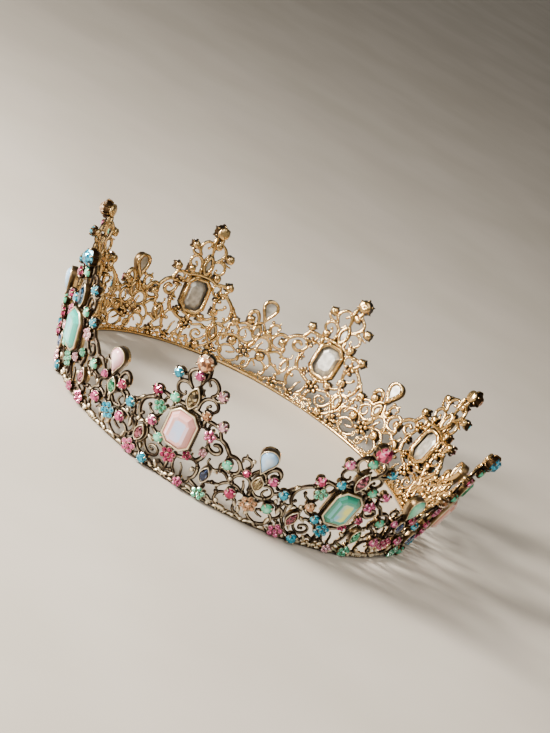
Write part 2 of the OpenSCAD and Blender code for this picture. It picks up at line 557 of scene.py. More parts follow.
@dataclass(frozen=True)
class Flower:
    """A flower of tiny stones: its place, diameter, number of petals and the panels' colours."""

    place: Place
    diameter: float
    petals: int
    hues: str

    def stones(self) -> list[tuple[Matrix, float]]:
        """Lays out the flower's tiny stones: the petals, then the middle one, a little higher.

        Returns:
            For each stone its place on the flower's seat and its diameter.
        """
        # The petals stand in a ring, and none is wider than the way to the next
        reach = self.diameter * 0.32
        apart = 2 * reach * math.sin(math.pi / self.petals)
        size = min(self.diameter * 0.36, apart * 0.98)
        stones = []
        for i in range(self.petals):
            turn = math.radians(90 + 360 * i / self.petals)
            petal = Vector((reach * math.cos(turn), reach * math.sin(turn), 0.0))
            stones.append((Matrix.Translation(petal), size))
        middle = Matrix.Translation((0.0, 0.0, 0.35))
        stones.append((middle, max(0.9, 2 * (reach - size * 0.5))))
        return stones


@dataclass(frozen=True)
class Navette:
    """A small navette stone: its place, width, length, turn and the panels' colours."""

    place: Place
    width: float
    length: float
    turn_deg: float
    hues: str


@dataclass(frozen=True)
class Leaf:
    """A small cast leaf: its place, length, width and turn."""

    place: Place
    length: float
    width: float
    turn_deg: float


OCTAGON_AT: Place = (0.0, 21.0)
PEAR_AT: Place = (21.9, 28.5)
NAVETTE_AT: Place = (-0.3, 34.0)
TIP_AT: Place = (-0.95, 48.4)

SCROLLS = (
    # The heart of two arcs under the tip
    Wire(((3.2, 37.4), (4.0, 39.2), (3.9, 41.4), (2.8, 43.2), (1.5, 43.4), (1.0, 42.0), (1.7, 40.8)),
         0.65, 0.4, 0.6),
    Wire(((-2.0, 36.2), (-3.2, 38.0), (-4.0, 40.3), (-3.5, 42.4), (-2.0, 44.0))),
    Wire(((0.4, 45.4), (0.5, 43.2), (0.0, 41.0), (-0.3, 38.2)), 0.9, 0.5),
    Wire(((-1.6, 45.4), (-1.2, 43.6), (-1.1, 42.7)), 0.9, 0.7),
    Wire(((-3.9, 40.0), (-5.0, 39.4), (-6.0, 39.3)), 0.5, 0.6),
    Wire(((-6.7, 36.3), (-5.2, 36.7), (-3.6, 37.5), (-2.7, 37.3)), 0.3, 0.6),
    Wire(((3.9, 39.6), (4.8, 39.6), (5.7, 40.6)), 0.5, 0.6),
    Wire(((3.2, 37.4), (4.6, 37.0), (5.8, 37.6), (6.4, 38.7)), 0.6, 0.45, 0.5),
    Wire(((0.9, 38.0), (0.9, 36.9), (1.5, 36.1)), 0.4, 0.4, 0.45),
    # The two curls beside the navette
    Wire(((-2.0, 36.5), (-3.6, 37.0), (-5.1, 36.0), (-5.5, 34.0), (-4.9, 32.3), (-3.7, 31.8), (-2.9, 32.5),
          (-3.1, 33.4)), 0.6, 0.35, 0.5),
    Wire(((1.5, 30.2), (1.5, 32.8), (2.2, 35.3), (3.9, 36.7), (5.4, 35.7), (5.8, 33.7), (4.9, 32.0),
          (3.7, 32.0), (3.3, 33.0), (3.8, 33.9)), 0.7, 0.35, 0.65),
    Wire(((-1.7, 29.6), (-2.0, 31.0), (-1.6, 32.2)), 0.6, 0.4),
    # The shoulder over the octagon stone
    Wire(((-9.2, 28.3), (-7.0, 28.5), (-5.0, 28.1), (-3.4, 28.9), (-1.5, 29.4), (1.0, 29.5), (3.2, 29.2),
          (4.8, 28.6), (6.8, 28.7), (8.6, 28.2)), 0.7, 0.7),
    Wire(((-4.9, 28.2), (-4.4, 29.3), (-4.4, 30.3)), 0.6, 0.6),
    Wire(((3.6, 29.1), (4.2, 30.0), (4.4, 30.9)), 0.6, 0.6),
    Wire(((8.5, 28.2), (8.8, 29.4), (8.9, 30.4)), 0.6, 0.6),
    Wire(((-9.3, 28.6), (-9.2, 27.2), (-8.6, 25.6), (-7.6, 24.4)), 0.65, 0.6),
    Wire(((-7.0, 25.2), (-6.7, 27.2), (-5.4, 27.9), (-4.5, 27.0), (-4.6, 25.3), (-5.0, 24.3)),
         0.5, 0.4, 0.55),
    Wire(((4.4, 28.6), (4.3, 27.2), (4.4, 25.6)), 0.8, 0.7, 0.8),
    Wire(((4.5, 25.7), (5.6, 25.4), (6.6, 25.2)), 0.5, 0.4),
    Wire(((6.9, 28.6), (6.0, 27.6), (5.9, 26.3), (6.6, 25.4)), 0.45, 0.4),
    # The right edge, down to the pear stone
    Wire(((8.6, 28.2), (9.2, 26.4), (9.9, 24.9), (11.4, 24.0), (12.7, 22.3), (13.6, 21.2), (15.0, 21.4),
          (16.4, 20.6), (17.3, 19.2), (18.2, 18.2)), 0.7, 0.6),
    Wire(((7.2, 24.4), (8.6, 24.5), (9.9, 24.9))),
    Wire(((7.0, 23.0), (7.4, 20.8), (8.4, 19.1), (9.8, 18.6), (10.9, 19.6), (11.0, 21.2), (10.0, 22.2),
          (9.1, 21.7)), 0.55, 0.75, 0.65),
    Wire(((7.4, 19.4), (7.8, 16.8), (7.6, 14.4), (6.7, 12.3)), 0.5, 0.85, 0.95),
    Wire(((6.6, 12.2), (5.4, 12.3), (4.2, 13.0)), 0.7, 0.5),
    Wire(((12.9, 16.2), (13.0, 15.0), (13.2, 13.9)), 0.9, 0.6),
    Wire(((13.4, 15.5), (15.2, 15.0), (16.8, 15.6), (17.4, 17.4), (16.9, 19.4), (15.6, 21.1)), 0.55, 0.6),
    Wire(((14.1, 18.3), (13.4, 19.8), (13.5, 21.2)), 0.6, 0.6),
    Wire(((14.1, 18.3), (13.5, 17.0), (12.9, 16.2)), 0.6, 0.7),
    # Round the open circle and the navette at the foot
    Wire(((7.0, 12.0), (7.9, 10.4), (8.2, 8.4), (8.0, 6.2), (7.2, 4.6))),
    Wire(((0.6, 9.4), (2.4, 10.2), (4.0, 11.0), (5.6, 12.2))),
    Wire(((1.7, 9.9), (1.4, 7.6), (1.8, 5.2), (2.9, 3.4)), 0.45, 0.5),
    Wire(((8.0, 7.2), (7.5, 9.1), (6.8, 8.7)), 0.35, 0.4, 0.85),
    Wire(((4.8, 3.0), (4.5, 5.0), (4.2, 6.8), (3.5, 8.1)), 0.45, 0.3, 0.4),
    Wire(((7.2, 4.6), (8.4, 3.8), (9.8, 3.2), (11.1, 2.4)), 0.6, 0.5),
    Wire(((7.0, 4.8), (7.3, 3.4), (6.4, 2.2), (5.0, 1.9)), 0.5, 0.45),
    Wire(((10.1, 13.6), (9.5, 14.5), (9.6, 15.7)), 0.4, 0.3, 0.5),
    Wire(((10.4, 13.6), (11.8, 12.9), (13.2, 13.9), (14.8, 13.6), (16.0, 12.3), (17.2, 11.5)), 0.5, 0.5),
    Wire(((10.4, 6.8), (11.8, 7.2), (12.9, 8.2), (14.2, 8.5)), 0.55, 0.4, 0.55),
    Wire(((12.0, 2.0), (13.4, 2.3), (14.6, 1.3), (16.0, 1.7)), 0.5, 0.45),
    Wire(((10.3, 6.6), (11.4, 5.2), (11.1, 3.4)), 0.5, 0.5),
    # Round the square ruby and the open curl under it
    Wire(((14.9, 5.8), (14.4, 7.6), (15.0, 9.4), (16.0, 10.8), (17.4, 11.5), (19.0, 11.3), (20.3, 10.3)),
         0.45, 0.6),
    Wire(((17.0, 7.2), (15.7, 6.2), (15.1, 4.2), (15.6, 2.2), (17.2, 1.0)), 0.5, 0.5),
    Wire(((19.4, 7.0), (20.6, 5.6), (20.6, 3.6), (21.2, 2.0), (22.6, 1.6)), 0.5, 0.45),
    Wire(((20.3, 6.3), (19.2, 5.6), (18.5, 4.5)), 0.4, 0.3, 0.4),
    Wire(((19.6, 9.8), (20.6, 10.5), (21.8, 9.6)), 0.55, 0.5),
    # Beside the pear stone
    Wire(((18.9, 19.8), (19.4, 21.4), (18.9, 23.0), (17.7, 23.6), (16.7, 22.8), (17.0, 21.6)),
         0.6, 0.45, 0.5),
    Wire(((17.5, 23.4), (17.1, 24.6)), 0.45, 0.3, 0.4),
    Wire(((18.0, 18.3), (19.2, 17.4), (20.4, 18.4), (20.9, 19.8), (21.7, 21.4)), 0.6, 0.5),
    Wire(((23.5, 20.4), (23.8, 22.6), (24.6, 24.3), (25.6, 24.8), (26.6, 23.7), (26.9, 22.2)), 0.6, 0.85),
    Wire(((22.4, 21.4), (23.6, 20.6), (24.2, 18.8), (25.4, 18.2), (26.8, 18.6), (28.2, 17.6))),
    Wire(((25.8, 20.8), (25.6, 19.4), (25.6, 18.3)), 0.6, 0.6),
    # The two hooked curls under the pear stone
    Wire(((17.3, 11.6), (16.9, 13.8), (17.7, 15.8), (19.3, 16.7), (20.9, 16.0), (21.7, 14.0),
          (21.7, 12.2))),
    Wire(((20.5, 10.8), (20.3, 12.6), (19.6, 14.4)), 0.6, 0.3, 0.5),
    Wire(((20.8, 18.6), (20.3, 17.4), (19.8, 16.7)), 0.5, 0.5),
    Wire(((22.3, 13.4), (24.0, 11.3), (25.8, 11.5), (27.2, 12.6), (27.7, 14.6), (27.0, 16.4), (25.6, 17.1),
          (24.4, 16.4)), 0.6, 0.5),
    Wire(((26.4, 12.2), (25.3, 13.0), (25.3, 14.4), (25.9, 15.6)), 0.5, 0.3, 0.45),
    Wire(((22.4, 13.8), (22.3, 12.0), (23.2, 9.8)), 0.8, 0.7),
    Wire(((27.6, 14.8), (28.6, 15.8), (29.4, 16.6)), 0.5, 0.6),
    # Down the right of the valley
    Wire(((25.6, 9.6), (26.3, 10.9), (27.4, 11.9), (29.2, 11.9), (30.5, 10.9), (30.9, 9.4)), 0.5, 0.5),
    Wire(((30.9, 16.0), (31.3, 13.6), (31.1, 11.2)), 0.6, 0.6, 0.85),
    Wire(((31.2, 13.4), (32.8, 13.2), (34.0, 13.9), (35.2, 13.4)), 0.5, 0.5),
    Wire(((31.0, 11.2), (32.2, 10.2), (32.8, 8.4), (32.2, 6.4), (30.9, 5.2)), 0.6, 0.5),
    Wire(((26.4, 6.6), (28.0, 7.5), (29.8, 7.0), (31.0, 5.4), (31.0, 3.4), (29.6, 1.8), (27.8, 1.1)),
         0.5, 0.5),
    Wire(((26.2, 5.7), (27.4, 4.8), (28.5, 4.5)), 0.45, 0.3, 0.4),
    Wire(((24.4, 3.6), (26.0, 1.9), (27.8, 1.1)), 0.5, 0.5),
    Wire(((31.0, 3.4), (32.2, 2.8), (33.6, 2.3)), 0.5, 0.5),
    Wire(((33.6, 2.3), (35.0, 3.9), (35.2, 5.4)), 0.5, 0.5),
    Wire(((30.7, 19.0), (31.4, 20.2), (32.5, 21.2))),
    # The large left curl, from the green flower down to the navette
    Wire(((-7.4, 24.6), (-9.4, 24.6), (-11.0, 23.4), (-12.4, 21.2), (-12.8, 18.6), (-12.4, 15.9),
          (-11.2, 13.8), (-10.1, 13.2)), 0.7, 0.55),
    Wire(((-8.6, 18.6), (-9.8, 19.4), (-10.3, 20.7)), 0.45, 0.35, 0.8),
    Wire(((-12.0, 14.8), (-11.3, 16.2)), 0.5, 0.45, 0.7),
    Wire(((-7.7, 17.0), (-8.1, 15.0), (-8.9, 13.6), (-9.8, 13.2)), 0.7, 0.5),
    Wire(((-8.1, 15.2), (-7.0, 13.6), (-5.6, 12.9), (-4.4, 12.9)), 0.5, 0.55),
    Wire(((-7.2, 23.0), (-6.7, 20.6), (-7.4, 18.0))),
    Wire(((-4.3, 12.9), (-3.4, 13.8), (-2.9, 14.6)), 0.6, 0.6),
    Wire(((-12.3, 12.4), (-11.9, 9.6), (-11.4, 7.0), (-10.2, 5.0)), 0.5, 0.6),
    Wire(((-8.7, 12.8), (-7.9, 10.2), (-8.4, 7.4), (-9.7, 5.0)), 0.6, 0.5),
    Wire(((-8.0, 10.4), (-6.8, 10.0), (-5.4, 10.6), (-3.6, 9.8), (-2.4, 9.2)), 0.5, 0.5),
    Wire(((-8.3, 8.4), (-7.3, 5.6), (-5.5, 4.0), (-3.7, 4.7), (-3.3, 6.6), (-4.5, 8.0), (-6.0, 7.3),
          (-5.8, 6.0), (-5.0, 6.2)), 0.55, 0.35, 0.6),
    # Along the foot
    Wire(((-2.6, 13.2), (-0.4, 12.4), (2.0, 13.0))),
    Wire(((-0.4, 13.2), (-0.3, 10.4)), 0.8, 0.7),
    Wire(((0.1, 6.6), (0.1, 4.4), (0.1, 1.6)), 0.65, 0.55),
    Wire(((0.0, 2.6), (-1.4, 3.6), (-2.8, 2.8), (-3.2, 1.0)), 0.5, 0.45),
    Wire(((0.2, 2.6), (1.4, 3.4), (2.4, 2.6), (2.7, 1.0)), 0.5, 0.45),
    Wire(((-9.8, 4.4), (-8.4, 2.6), (-6.2, 1.9)), 0.5, 0.5),
    Wire(((-5.5, 4.0), (-6.2, 1.9)), 0.55, 0.5),
    Wire(((-4.6, 2.0), (-3.2, 1.0)), 0.5, 0.45),
)

ROUNDS = (
    RoundStone((-1.1, 42.7), 4.0, "PMMBPTPM"),
    RoundStone((-6.0, 39.3), 4.2, "TPRTBRMR"),
    RoundStone((5.7, 40.6), 4.0, "BTTPRBTT", 5),
    RoundStone((-4.4, 30.3), 4.0, "MTMCTPMT"),
    RoundStone((-9.3, 28.6), 4.2, "RRCRMTRR", 5),
    RoundStone((4.4, 30.9), 3.8, "CMBMPBPM"),
    RoundStone((8.9, 30.4), 3.9, "BPTPCBTT", 5),
    RoundStone((-7.6, 17.1), 4.1, "PCRTMPCB"),
    RoundStone((-4.3, 12.9), 4.0, "MTPMBTPM"),
    RoundStone((-6.2, 1.9), 4.3, "TTMRPTPT"),
    RoundStone((14.1, 18.3), 4.0, "MMMTPMMM"),
    RoundStone((18.2, 8.7), 4.5, "RPRMTRTP"),
    RoundStone((25.8, 20.8), 4.1, "PRPTBPMR"),
    RoundStone((29.9, 17.5), 4.3, "TTBTMTRT"),
    RoundStone((28.2, 9.7), 4.4, "MPBRTMPP"),
    RoundStone((19.2, 19.1), 3.2, "RPTMRPCP", 0),
)

NAVETTES = (
    Navette((10.3, 10.2), 3.2, 6.4, 0.0, "NMRCRNMR"),
    Navette((-9.7, 9.8), 3.3, 6.5, -8.0, "RRNMCRCN"),
    Navette((22.7, 17.4), 3.6, 6.0, 8.0, "CTNMRCRM"),
)

FLOWERS = (
    Flower((-7.2, 23.4), 5.6, 5, "MMPBCMTP"),
    Flower((7.1, 24.4), 5.1, 5, "PPBTMPMB"),
    Flower((-0.3, 9.0), 6.6, 6, "RTPRMTPM"),
    Flower((-11.4, 2.3), 6.2, 5, "PPMBTPRB"),
    Flower((11.1, 2.2), 5.4, 5, "MMCMPBMP"),
    Flower((23.6, 7.9), 7.1, 6, "CRTPMCRT"),
    Flower((7.4, 17.4), 3.5, 5, "BRPBTBPM"),
    Flower((4.2, 13.0), 3.8, 5, "RRPTMRPB"),
    Flower((5.0, 1.9), 4.0, 5, "PBTMPBTP"),
)

LEAVES = (
    Leaf((18.0, 0.8), 4.6, 2.0, 86.0),
    Leaf((-0.7, 1.3), 2.4, 1.3, 62.0),
    Leaf((1.1, 1.3), 2.4, 1.3, -62.0),
    Leaf((0.2, 0.4), 2.2, 1.2, 0.0),
    Leaf((-6.6, 9.9), 3.4, 1.7, 60.0),
    Leaf((-2.6, 2.4), 3.0, 1.6, 40.0),
    Leaf((2.6, 2.4), 3.0, 1.6, -40.0),
    Leaf((8.2, 1.6), 3.4, 1.4, 80.0),
    Leaf((14.6, 1.0), 2.6, 1.4, 70.0),
    Leaf((-3.6, 0.6), 2.4, 1.2, -75.0),
    Leaf((26.6, 1.0), 3.2, 1.5, -80.0),
    Leaf((30.4, 0.8), 2.8, 1.4, 80.0),
    Leaf((12.2, 12.7), 2.8, 1.4, 70.0),
    Leaf((-10.8, 13.4), 2.8, 1.4, -50.0),
    Leaf((16.8, 0.2), 2.6, 1.1, 40.0),
    Leaf((17.7, 0.5), 2.8, 1.1, 12.0),
    Leaf((18.6, 0.5), 2.8, 1.1, -12.0),
    Leaf((19.5, 0.2), 2.6, 1.1, -40.0),
    Leaf((22.2, 3.4), 3.2, 1.9, 24.0),
    Leaf((24.4, 3.9), 3.0, 1.8, -18.0),
    Leaf((20.6, 5.0), 2.8, 1.5, 40.0),
    Leaf((31.3, 9.8), 4.2, 1.7, 8.0),
    Leaf((30.4, 4.0), 3.6, 1.5, -14.0),
    Leaf((14.2, 8.3), 2.6, 1.2, -58.0),
    Leaf((32.0, 21.6), 2.8, 1.2, -40.0),
    Leaf((-8.4, 4.9), 2.6, 1.3, 30.0),
)

# The row of small leaves along the foot: they lean to the two sides in turn, none quite alike
GARLAND = tuple(
    Leaf((-10.6 + 2.25 * i, 0.55 + 0.35 * (i % 2)), 2.7, 1.3,
         (62.0 if i % 2 else -66.0) + 12.0 * math.sin(1.7 * i))
    for i in range(20))

# The dark knots where scrolls meet, and the loose bright beads
KNOTS = (
    (12.9, 15.9), (13.2, 14.0), (17.3, 11.9), (16.4, 14.9), (21.9, 12.7), (22.5, 11.0), (30.2, 15.7),
    (30.9, 19.3), (33.0, 7.9), (32.3, 5.8), (26.5, 12.1), (7.0, 12.2), (7.9, 10.5), (-8.7, 13.2),
    (-11.6, 13.4), (4.6, 26.1), (-4.6, 28.1), (8.7, 28.3), (20.6, 10.6), (19.1, 17.0), (24.2, 19.4),
    (-9.5, 25.0), (-6.9, 16.0), (1.9, 3.9), (-2.0, 3.9), (14.9, 5.9), (31.0, 13.4), (12.9, 8.2),
)

BEADS = (
    (21.6, 0.5), (24.0, 0.6), (16.0, 2.8), (6.8, 8.7), (33.2, 13.6), (-8.6, 0.9), (29.4, 13.2),
    (16.4, 13.4), (1.2, 30.4), (19.3, 23.8), (21.6, 6.6), (35.8, 15.0), (14.3, 0.2),
)


# Finishes

def linear(hexed: str) -> tuple[float, float, float, float]:
    """Turns an sRGB colour to linear light.

    Args:
        hexed: The colour, such as "#c8a15a".

    Returns:
        Red, green, blue and an alpha of one.
    """
    shares = [int(hexed[i:i + 2], 16) / 255 for i in (1, 3, 5)]
    low = [s / 12.92 if s <= 0.04045 else ((s + 0.055) / 1.055) ** 2.4 for s in shares]
    return (low[0], low[1], low[2], 1.0)


def add_node(tree: bpy.types.NodeTree, kind: str, inputs: dict, stops: Stops = (),
             **settings: object) -> bpy.types.Node:
    """Adds a shader node with its settings, values and links.

    Args:
        tree: The material's node tree.
        kind: The node's type, without the ShaderNode in front.
        inputs: Values or output sockets by input name or index.
        stops: Positions and their colours, where the node holds a row of colours.
        **settings: Properties of the node itself.

    Returns:
        The node.
    """
    node = tree.nodes.new("ShaderNode" + kind)
    for name, value in settings.items():
        setattr(node, name, value)
    for name, value in inputs.items():
        if isinstance(value, bpy.types.NodeSocket):
            tree.links.new(value, node.inputs[name])
        else:
            node.inputs[name].default_value = value
    if stops:
        elements = node.color_ramp.elements
        while len(elements) < len(stops):
            elements.new(1.0)
        for element, (position, hexed) in zip(elements, stops):
            element.position = position
            element.color = linear(hexed)
    return node


def per_mm(size_mm: float) -> float:
    """Returns a texture's scale for a pattern of this size in millimetres."""
    return 1.0 / (size_mm * MM)


@dataclass(frozen=True)
class Finish:
    """What all finishes share: a name, and a surface made by nodes."""

    name: str

    def surface(self, tree: bpy.types.NodeTree) -> dict:
        """Adds the nodes of the surface. Each finish has its own.

        Args:
            tree: The material's node tree.

        Returns:
            The shader's values and links, by input name.
        """
        raise NotImplementedError(self.name)

    def build(self) -> bpy.types.Material:
        """Makes the material.

        Returns:
            The material.
        """
        material = bpy.data.materials.new(self.name)
        material.use_nodes = True
        tree = material.node_tree
        tree.nodes.clear()
        shader = add_node(tree, "BsdfPrincipled", self.surface(tree))
        add_node(tree, "OutputMaterial", {"Surface": shader.outputs["BSDF"]})
        return material


@dataclass(frozen=True)
class AntiquedCasting(Finish):
    """Zinc alloy, cast, plated in antique gold, darkened, and pale on its raised parts from wear and a
    painted highlight.

    Outside, the patina is near black in the recesses and on the sides of the wires, with a thin
    pale line of gold along each crest, where a face turns straight out: partly worn bright, partly
    a painted highlight. Bezels, leaves and beads are worn nearly clean and carry a broader painted
    highlight, and cups and claws keep a middle brown, so main() gives them lighter colours. Inside
    the ring the patina was wiped off, so the gold there is bright and full of small glints. A face
    counts as inside by its depth in the leaning wall and by the way it is turned.

    The cast grain is 0.6 mm, the patches of wear are 3.5 mm wide, and a recess is what has other
    metal within 1.2 mm.
    """

    dark: str = "#271f19"
    brown: str = "#4b3f34"
    gold: str = "#cdbfa5"
    inner_brown: str = "#38210c"
    inner_gold: str = "#e2bf83"
    wear_and_highlight_from: float = 0.98
    wear_and_highlight_to: float = 1.27
    wear_share: float = 0.4
    recess_mm: float = 1.2
    recess_from: float = 0.2
    recess_to: float = 0.75
    grain_mm: float = 0.6
    wear_mm: float = 3.5
    relief_mm: float = 0.15
    turn_mm: float = 1.5
    inside_mm: float = -1.15
    outside_mm: float = -0.6

    def depth(self, tree: bpy.types.NodeTree, coords: bpy.types.NodeSocket,
              flat: bpy.types.NodeSocket) -> bpy.types.NodeSocket:
        """Works out how far a point lies out from the wall's leaning outer face, in millimetres.

        Args:
            tree: The material's node tree.
            coords: The point.
            flat: The point without its height.

        Returns:
            The distance, which is negative behind the face.
        """
        slope = math.tan(math.radians(WALL.lean_deg))
        foot = WALL.foot_height * slope - WALL.foot_radius
        spot = add_node(tree, "SeparateXYZ", {"Vector": coords})
        girth = add_node(tree, "VectorMath", {0: flat}, operation="LENGTH")
        raised = add_node(tree, "Math", {0: spot.outputs["Z"], 1: -slope / MM, 2: foot},
                          operation="MULTIPLY_ADD")
        depth = add_node(tree, "Math", {0: girth.outputs["Value"], 1: 1 / MM, 2: raised.outputs[0]},
                         operation="MULTIPLY_ADD")
        return depth.outputs[0]

    def surface(self, tree: bpy.types.NodeTree) -> dict:
        """Adds the nodes of the surface.

        Args:
            tree: The material's node tree.

        Returns:
            The shader's values and links, by input name.
        """
        coords = add_node(tree, "TexCoord", {}).outputs["Object"]
        normal = add_node(tree, "NewGeometry", {}).outputs["Normal"]
        flat = add_node(tree, "VectorMath", {0: coords, 1: (1.0, 1.0, 0.0)}, operation="MULTIPLY")
        away = add_node(tree, "VectorMath", {0: flat.outputs[0]}, operation="NORMALIZE")
        facing = add_node(tree, "VectorMath", {0: away.outputs[0], 1: normal}, operation="DOT_PRODUCT")
        outward = facing.outputs["Value"]
        cast = add_node(tree, "TexNoise", {"Vector": coords, "Scale": per_mm(self.grain_mm), "Detail": 3.0})
        worn = add_node(tree, "TexNoise", {"Vector": coords, "Scale": per_mm(self.wear_mm), "Detail": 2.0})
        air = add_node(tree, "AmbientOcclusion", {"Distance": self.recess_mm * MM}, samples=6)
        # Pale gold where a face turns straight out, in patches: partly wear, partly a painted highlight
        # along the crests
        uneven = add_node(tree, "Math", {0: worn.outputs["Fac"], 1: self.wear_share, 2: outward},
                          operation="MULTIPLY_ADD")
        wear_and_highlight = add_node(tree, "MapRange", {"Value": uneven.outputs[0], "From Min": self.wear_and_highlight_from,
                                             "From Max": self.wear_and_highlight_to})
        recess = add_node(tree, "MapRange", {"Value": air.outputs["AO"], "From Min": self.recess_from,
                                             "From Max": self.recess_to})
        shown = add_node(tree, "Math", {0: wear_and_highlight.outputs[0], 1: recess.outputs[0]}, operation="MULTIPLY")
        outer = add_node(tree, "ValToRGB", {"Fac": shown.outputs[0]},
                         ((0.0, self.dark), (0.5, self.brown), (0.9, self.gold)))
        inner = add_node(tree, "ValToRGB", {"Fac": recess.outputs[0]},
                         ((0.4, self.inner_brown), (0.95, self.inner_gold)))
        turned = add_node(tree, "Math", {0: outward, 1: self.turn_mm,
                                         2: self.depth(tree, coords, flat.outputs[0])},
                          operation="MULTIPLY_ADD")
        side = add_node(tree, "MapRange", {"Value": turned.outputs[0], "From Min": self.inside_mm,
                                           "From Max": self.outside_mm})
        colour = add_node(tree, "Mix", {0: side.outputs[0], "A": inner.outputs["Color"],
                                        "B": outer.outputs["Color"]}, data_type="RGBA")
        rough = add_node(tree, "MapRange", {"Value": side.outputs[0], "To Min": 0.14, "To Max": 0.34})
        relief = add_node(tree, "MapRange", {"Value": side.outputs[0], "To Min": 0.8, "To Max": 0.5})
        bump = add_node(tree, "Bump", {"Height": cast.outputs["Fac"], "Strength": relief.outputs[0],
                                       "Distance": self.relief_mm * MM})
        return {"Base Color": colour.outputs[2], "Metallic": 1.0, "Roughness": rough.outputs[0],
                "Normal": bump.outputs["Normal"]}


@dataclass(frozen=True)
class FoiledCrystal(Finish):
    """Lead crystal, cut, polished and foiled behind: deep colour that breaks into bright facets.

    The light that the foil throws back through facets of 0.62 mm is painted as cells inside the
    stone, and each cut facet carries a painted reflection of its own. Each cell and each cut facet
    is a different step from the deep to the bright colour, and the brightest are painted white
    glints. The foil makes the stone part mirror, and the polish over it is the coat.
    """

    deep: str
    body: str
    bright: str
    facet_mm: float = 0.62
    inner: float = 0.36
    brightest_reflection: float = 0.96

    def surface(self, tree: bpy.types.NodeTree) -> dict:
        """Adds the nodes of the surface.

        Args:
            tree: The material's node tree.

        Returns:
            The shader's values and links, by input name.
        """
        coords = add_node(tree, "TexCoord", {}).outputs["Object"]
        inside = add_node(tree, "TexVoronoi", {"Vector": coords, "Scale": per_mm(self.facet_mm)})
        split = add_node(tree, "SeparateColor", {"Color": inside.outputs["Color"]})
        facet = add_node(tree, "Attribute", {}, attribute_name=FACET_REFLECTION).outputs["Fac"]
        turned = add_node(tree, "MapRange", {"Value": facet, "To Max": self.brightest_reflection - self.inner})
        mixed = add_node(tree, "Math", {0: split.outputs["Red"], 1: self.inner, 2: turned.outputs[0]},
                         operation="MULTIPLY_ADD")
        # Painted reflections: from the deep colour through the bright one to a painted white glint
        colour = add_node(tree, "ValToRGB", {"Fac": mixed.outputs[0]},
                          ((0.18, self.deep), (0.45, self.body), (0.78, self.bright), (1.0, "#ffffff")))
        return {"Base Color": colour.outputs["Color"], "Metallic": 0.6, "Roughness": 0.12, "IOR": 1.56,
                "Coat Weight": 0.45, "Coat Roughness": 0.03, "Coat IOR": 1.56}


@dataclass(frozen=True)
class OpalGlass(Finish):
    """Opal glass, pressed and fire-polished: milky colour at the rim that pales to a bluish heart.

    The colour follows the depth of the glass. Over the heart a flash of another colour lies in
    clouds of 6 mm, as the colour of an opal that shifts across the stone.
    """

    body: str
    pale: str
    flash: str
    heart: str
    cloud_mm: float = 6.0
    glow_mm: float = 1.2

    def surface(self, tree: bpy.types.NodeTree) -> dict:
        """Adds the nodes of the surface.

        Args:
            tree: The material's node tree.

        Returns:
            The shader's values and links, by input name.
        """
        coords = add_node(tree, "TexCoord", {}).outputs["Object"]
        depth = add_node(tree, "Attribute", {}, attribute_name=HEART).outputs["Fac"]
        cloud = add_node(tree, "TexNoise", {"Vector": coords, "Scale": per_mm(self.cloud_mm),
                                            "Detail": 1.0})
        # Each cut facet is painted paler towards the heart by its painted reflection
        facet = add_node(tree, "Attribute", {}, attribute_name=FACET_REFLECTION).outputs["Fac"]
        turned = add_node(tree, "MapRange", {"Value": facet, "From Min": 0.4, "From Max": 0.95,
                                             "To Max": 0.35})
        lifted = add_node(tree, "Math", {0: depth, 1: turned.outputs[0]}, operation="ADD")
        milk = add_node(tree, "ValToRGB", {"Fac": lifted.outputs[0]},
                        ((0.0, self.body), (0.45, self.pale), (1.0, self.heart)))
        glow = add_node(tree, "ValToRGB", {"Fac": cloud.outputs["Fac"]},
                        ((0.4, self.heart), (0.6, self.flash)))
        lit = add_node(tree, "MapRange", {"Value": depth, "From Min": 0.5, "From Max": 0.9},
                       interpolation_type="SMOOTHSTEP")
        colour = add_node(tree, "Mix", {0: lit.outputs[0], "A": milk.outputs["Color"],
                                        "B": glow.outputs["Color"]}, data_type="RGBA")
        return {"Base Color": colour.outputs[2], "Roughness": 0.1, "IOR": 1.5, "Subsurface Weight": 0.12,
                "Subsurface Radius": (1.0, 1.0, 1.0), "Subsurface Scale": self.glow_mm * MM,
                "Coat Weight": 0.8, "Coat Roughness": 0.03}


@dataclass(frozen=True)
class SilverFoil(Finish):
    """Silver foil, lacquered onto a stone's back: a dull grey mirror with creases of 2.2 mm."""

    name: str = "silver_foil_backing"
    tarnish: str = "#a3a19a"
    silver: str = "#d2d1cb"
    crease_mm: float = 2.2
    relief_mm: float = 0.1

    def surface(self, tree: bpy.types.NodeTree) -> dict:
        """Adds the nodes of the surface.

        Args:
            tree: The material's node tree.

        Returns:
            The shader's values and links, by input name.
        """
        coords = add_node(tree, "TexCoord", {}).outputs["Object"]
        creases = add_node(tree, "TexNoise", {"Vector": coords, "Scale": per_mm(self.crease_mm),
                                              "Detail": 3.0})
        colour = add_node(tree, "ValToRGB", {"Fac": creases.outputs["Fac"]},
                          ((0.35, self.tarnish), (0.65, self.silver)))
        bump = add_node(tree, "Bump", {"Height": creases.outputs["Fac"], "Strength": 0.15,
                                       "Distance": self.relief_mm * MM})
        return {"Base Color": colour.outputs["Color"], "Metallic": 0.75, "Roughness": 0.4,
                "Normal": bump.outputs["Normal"]}


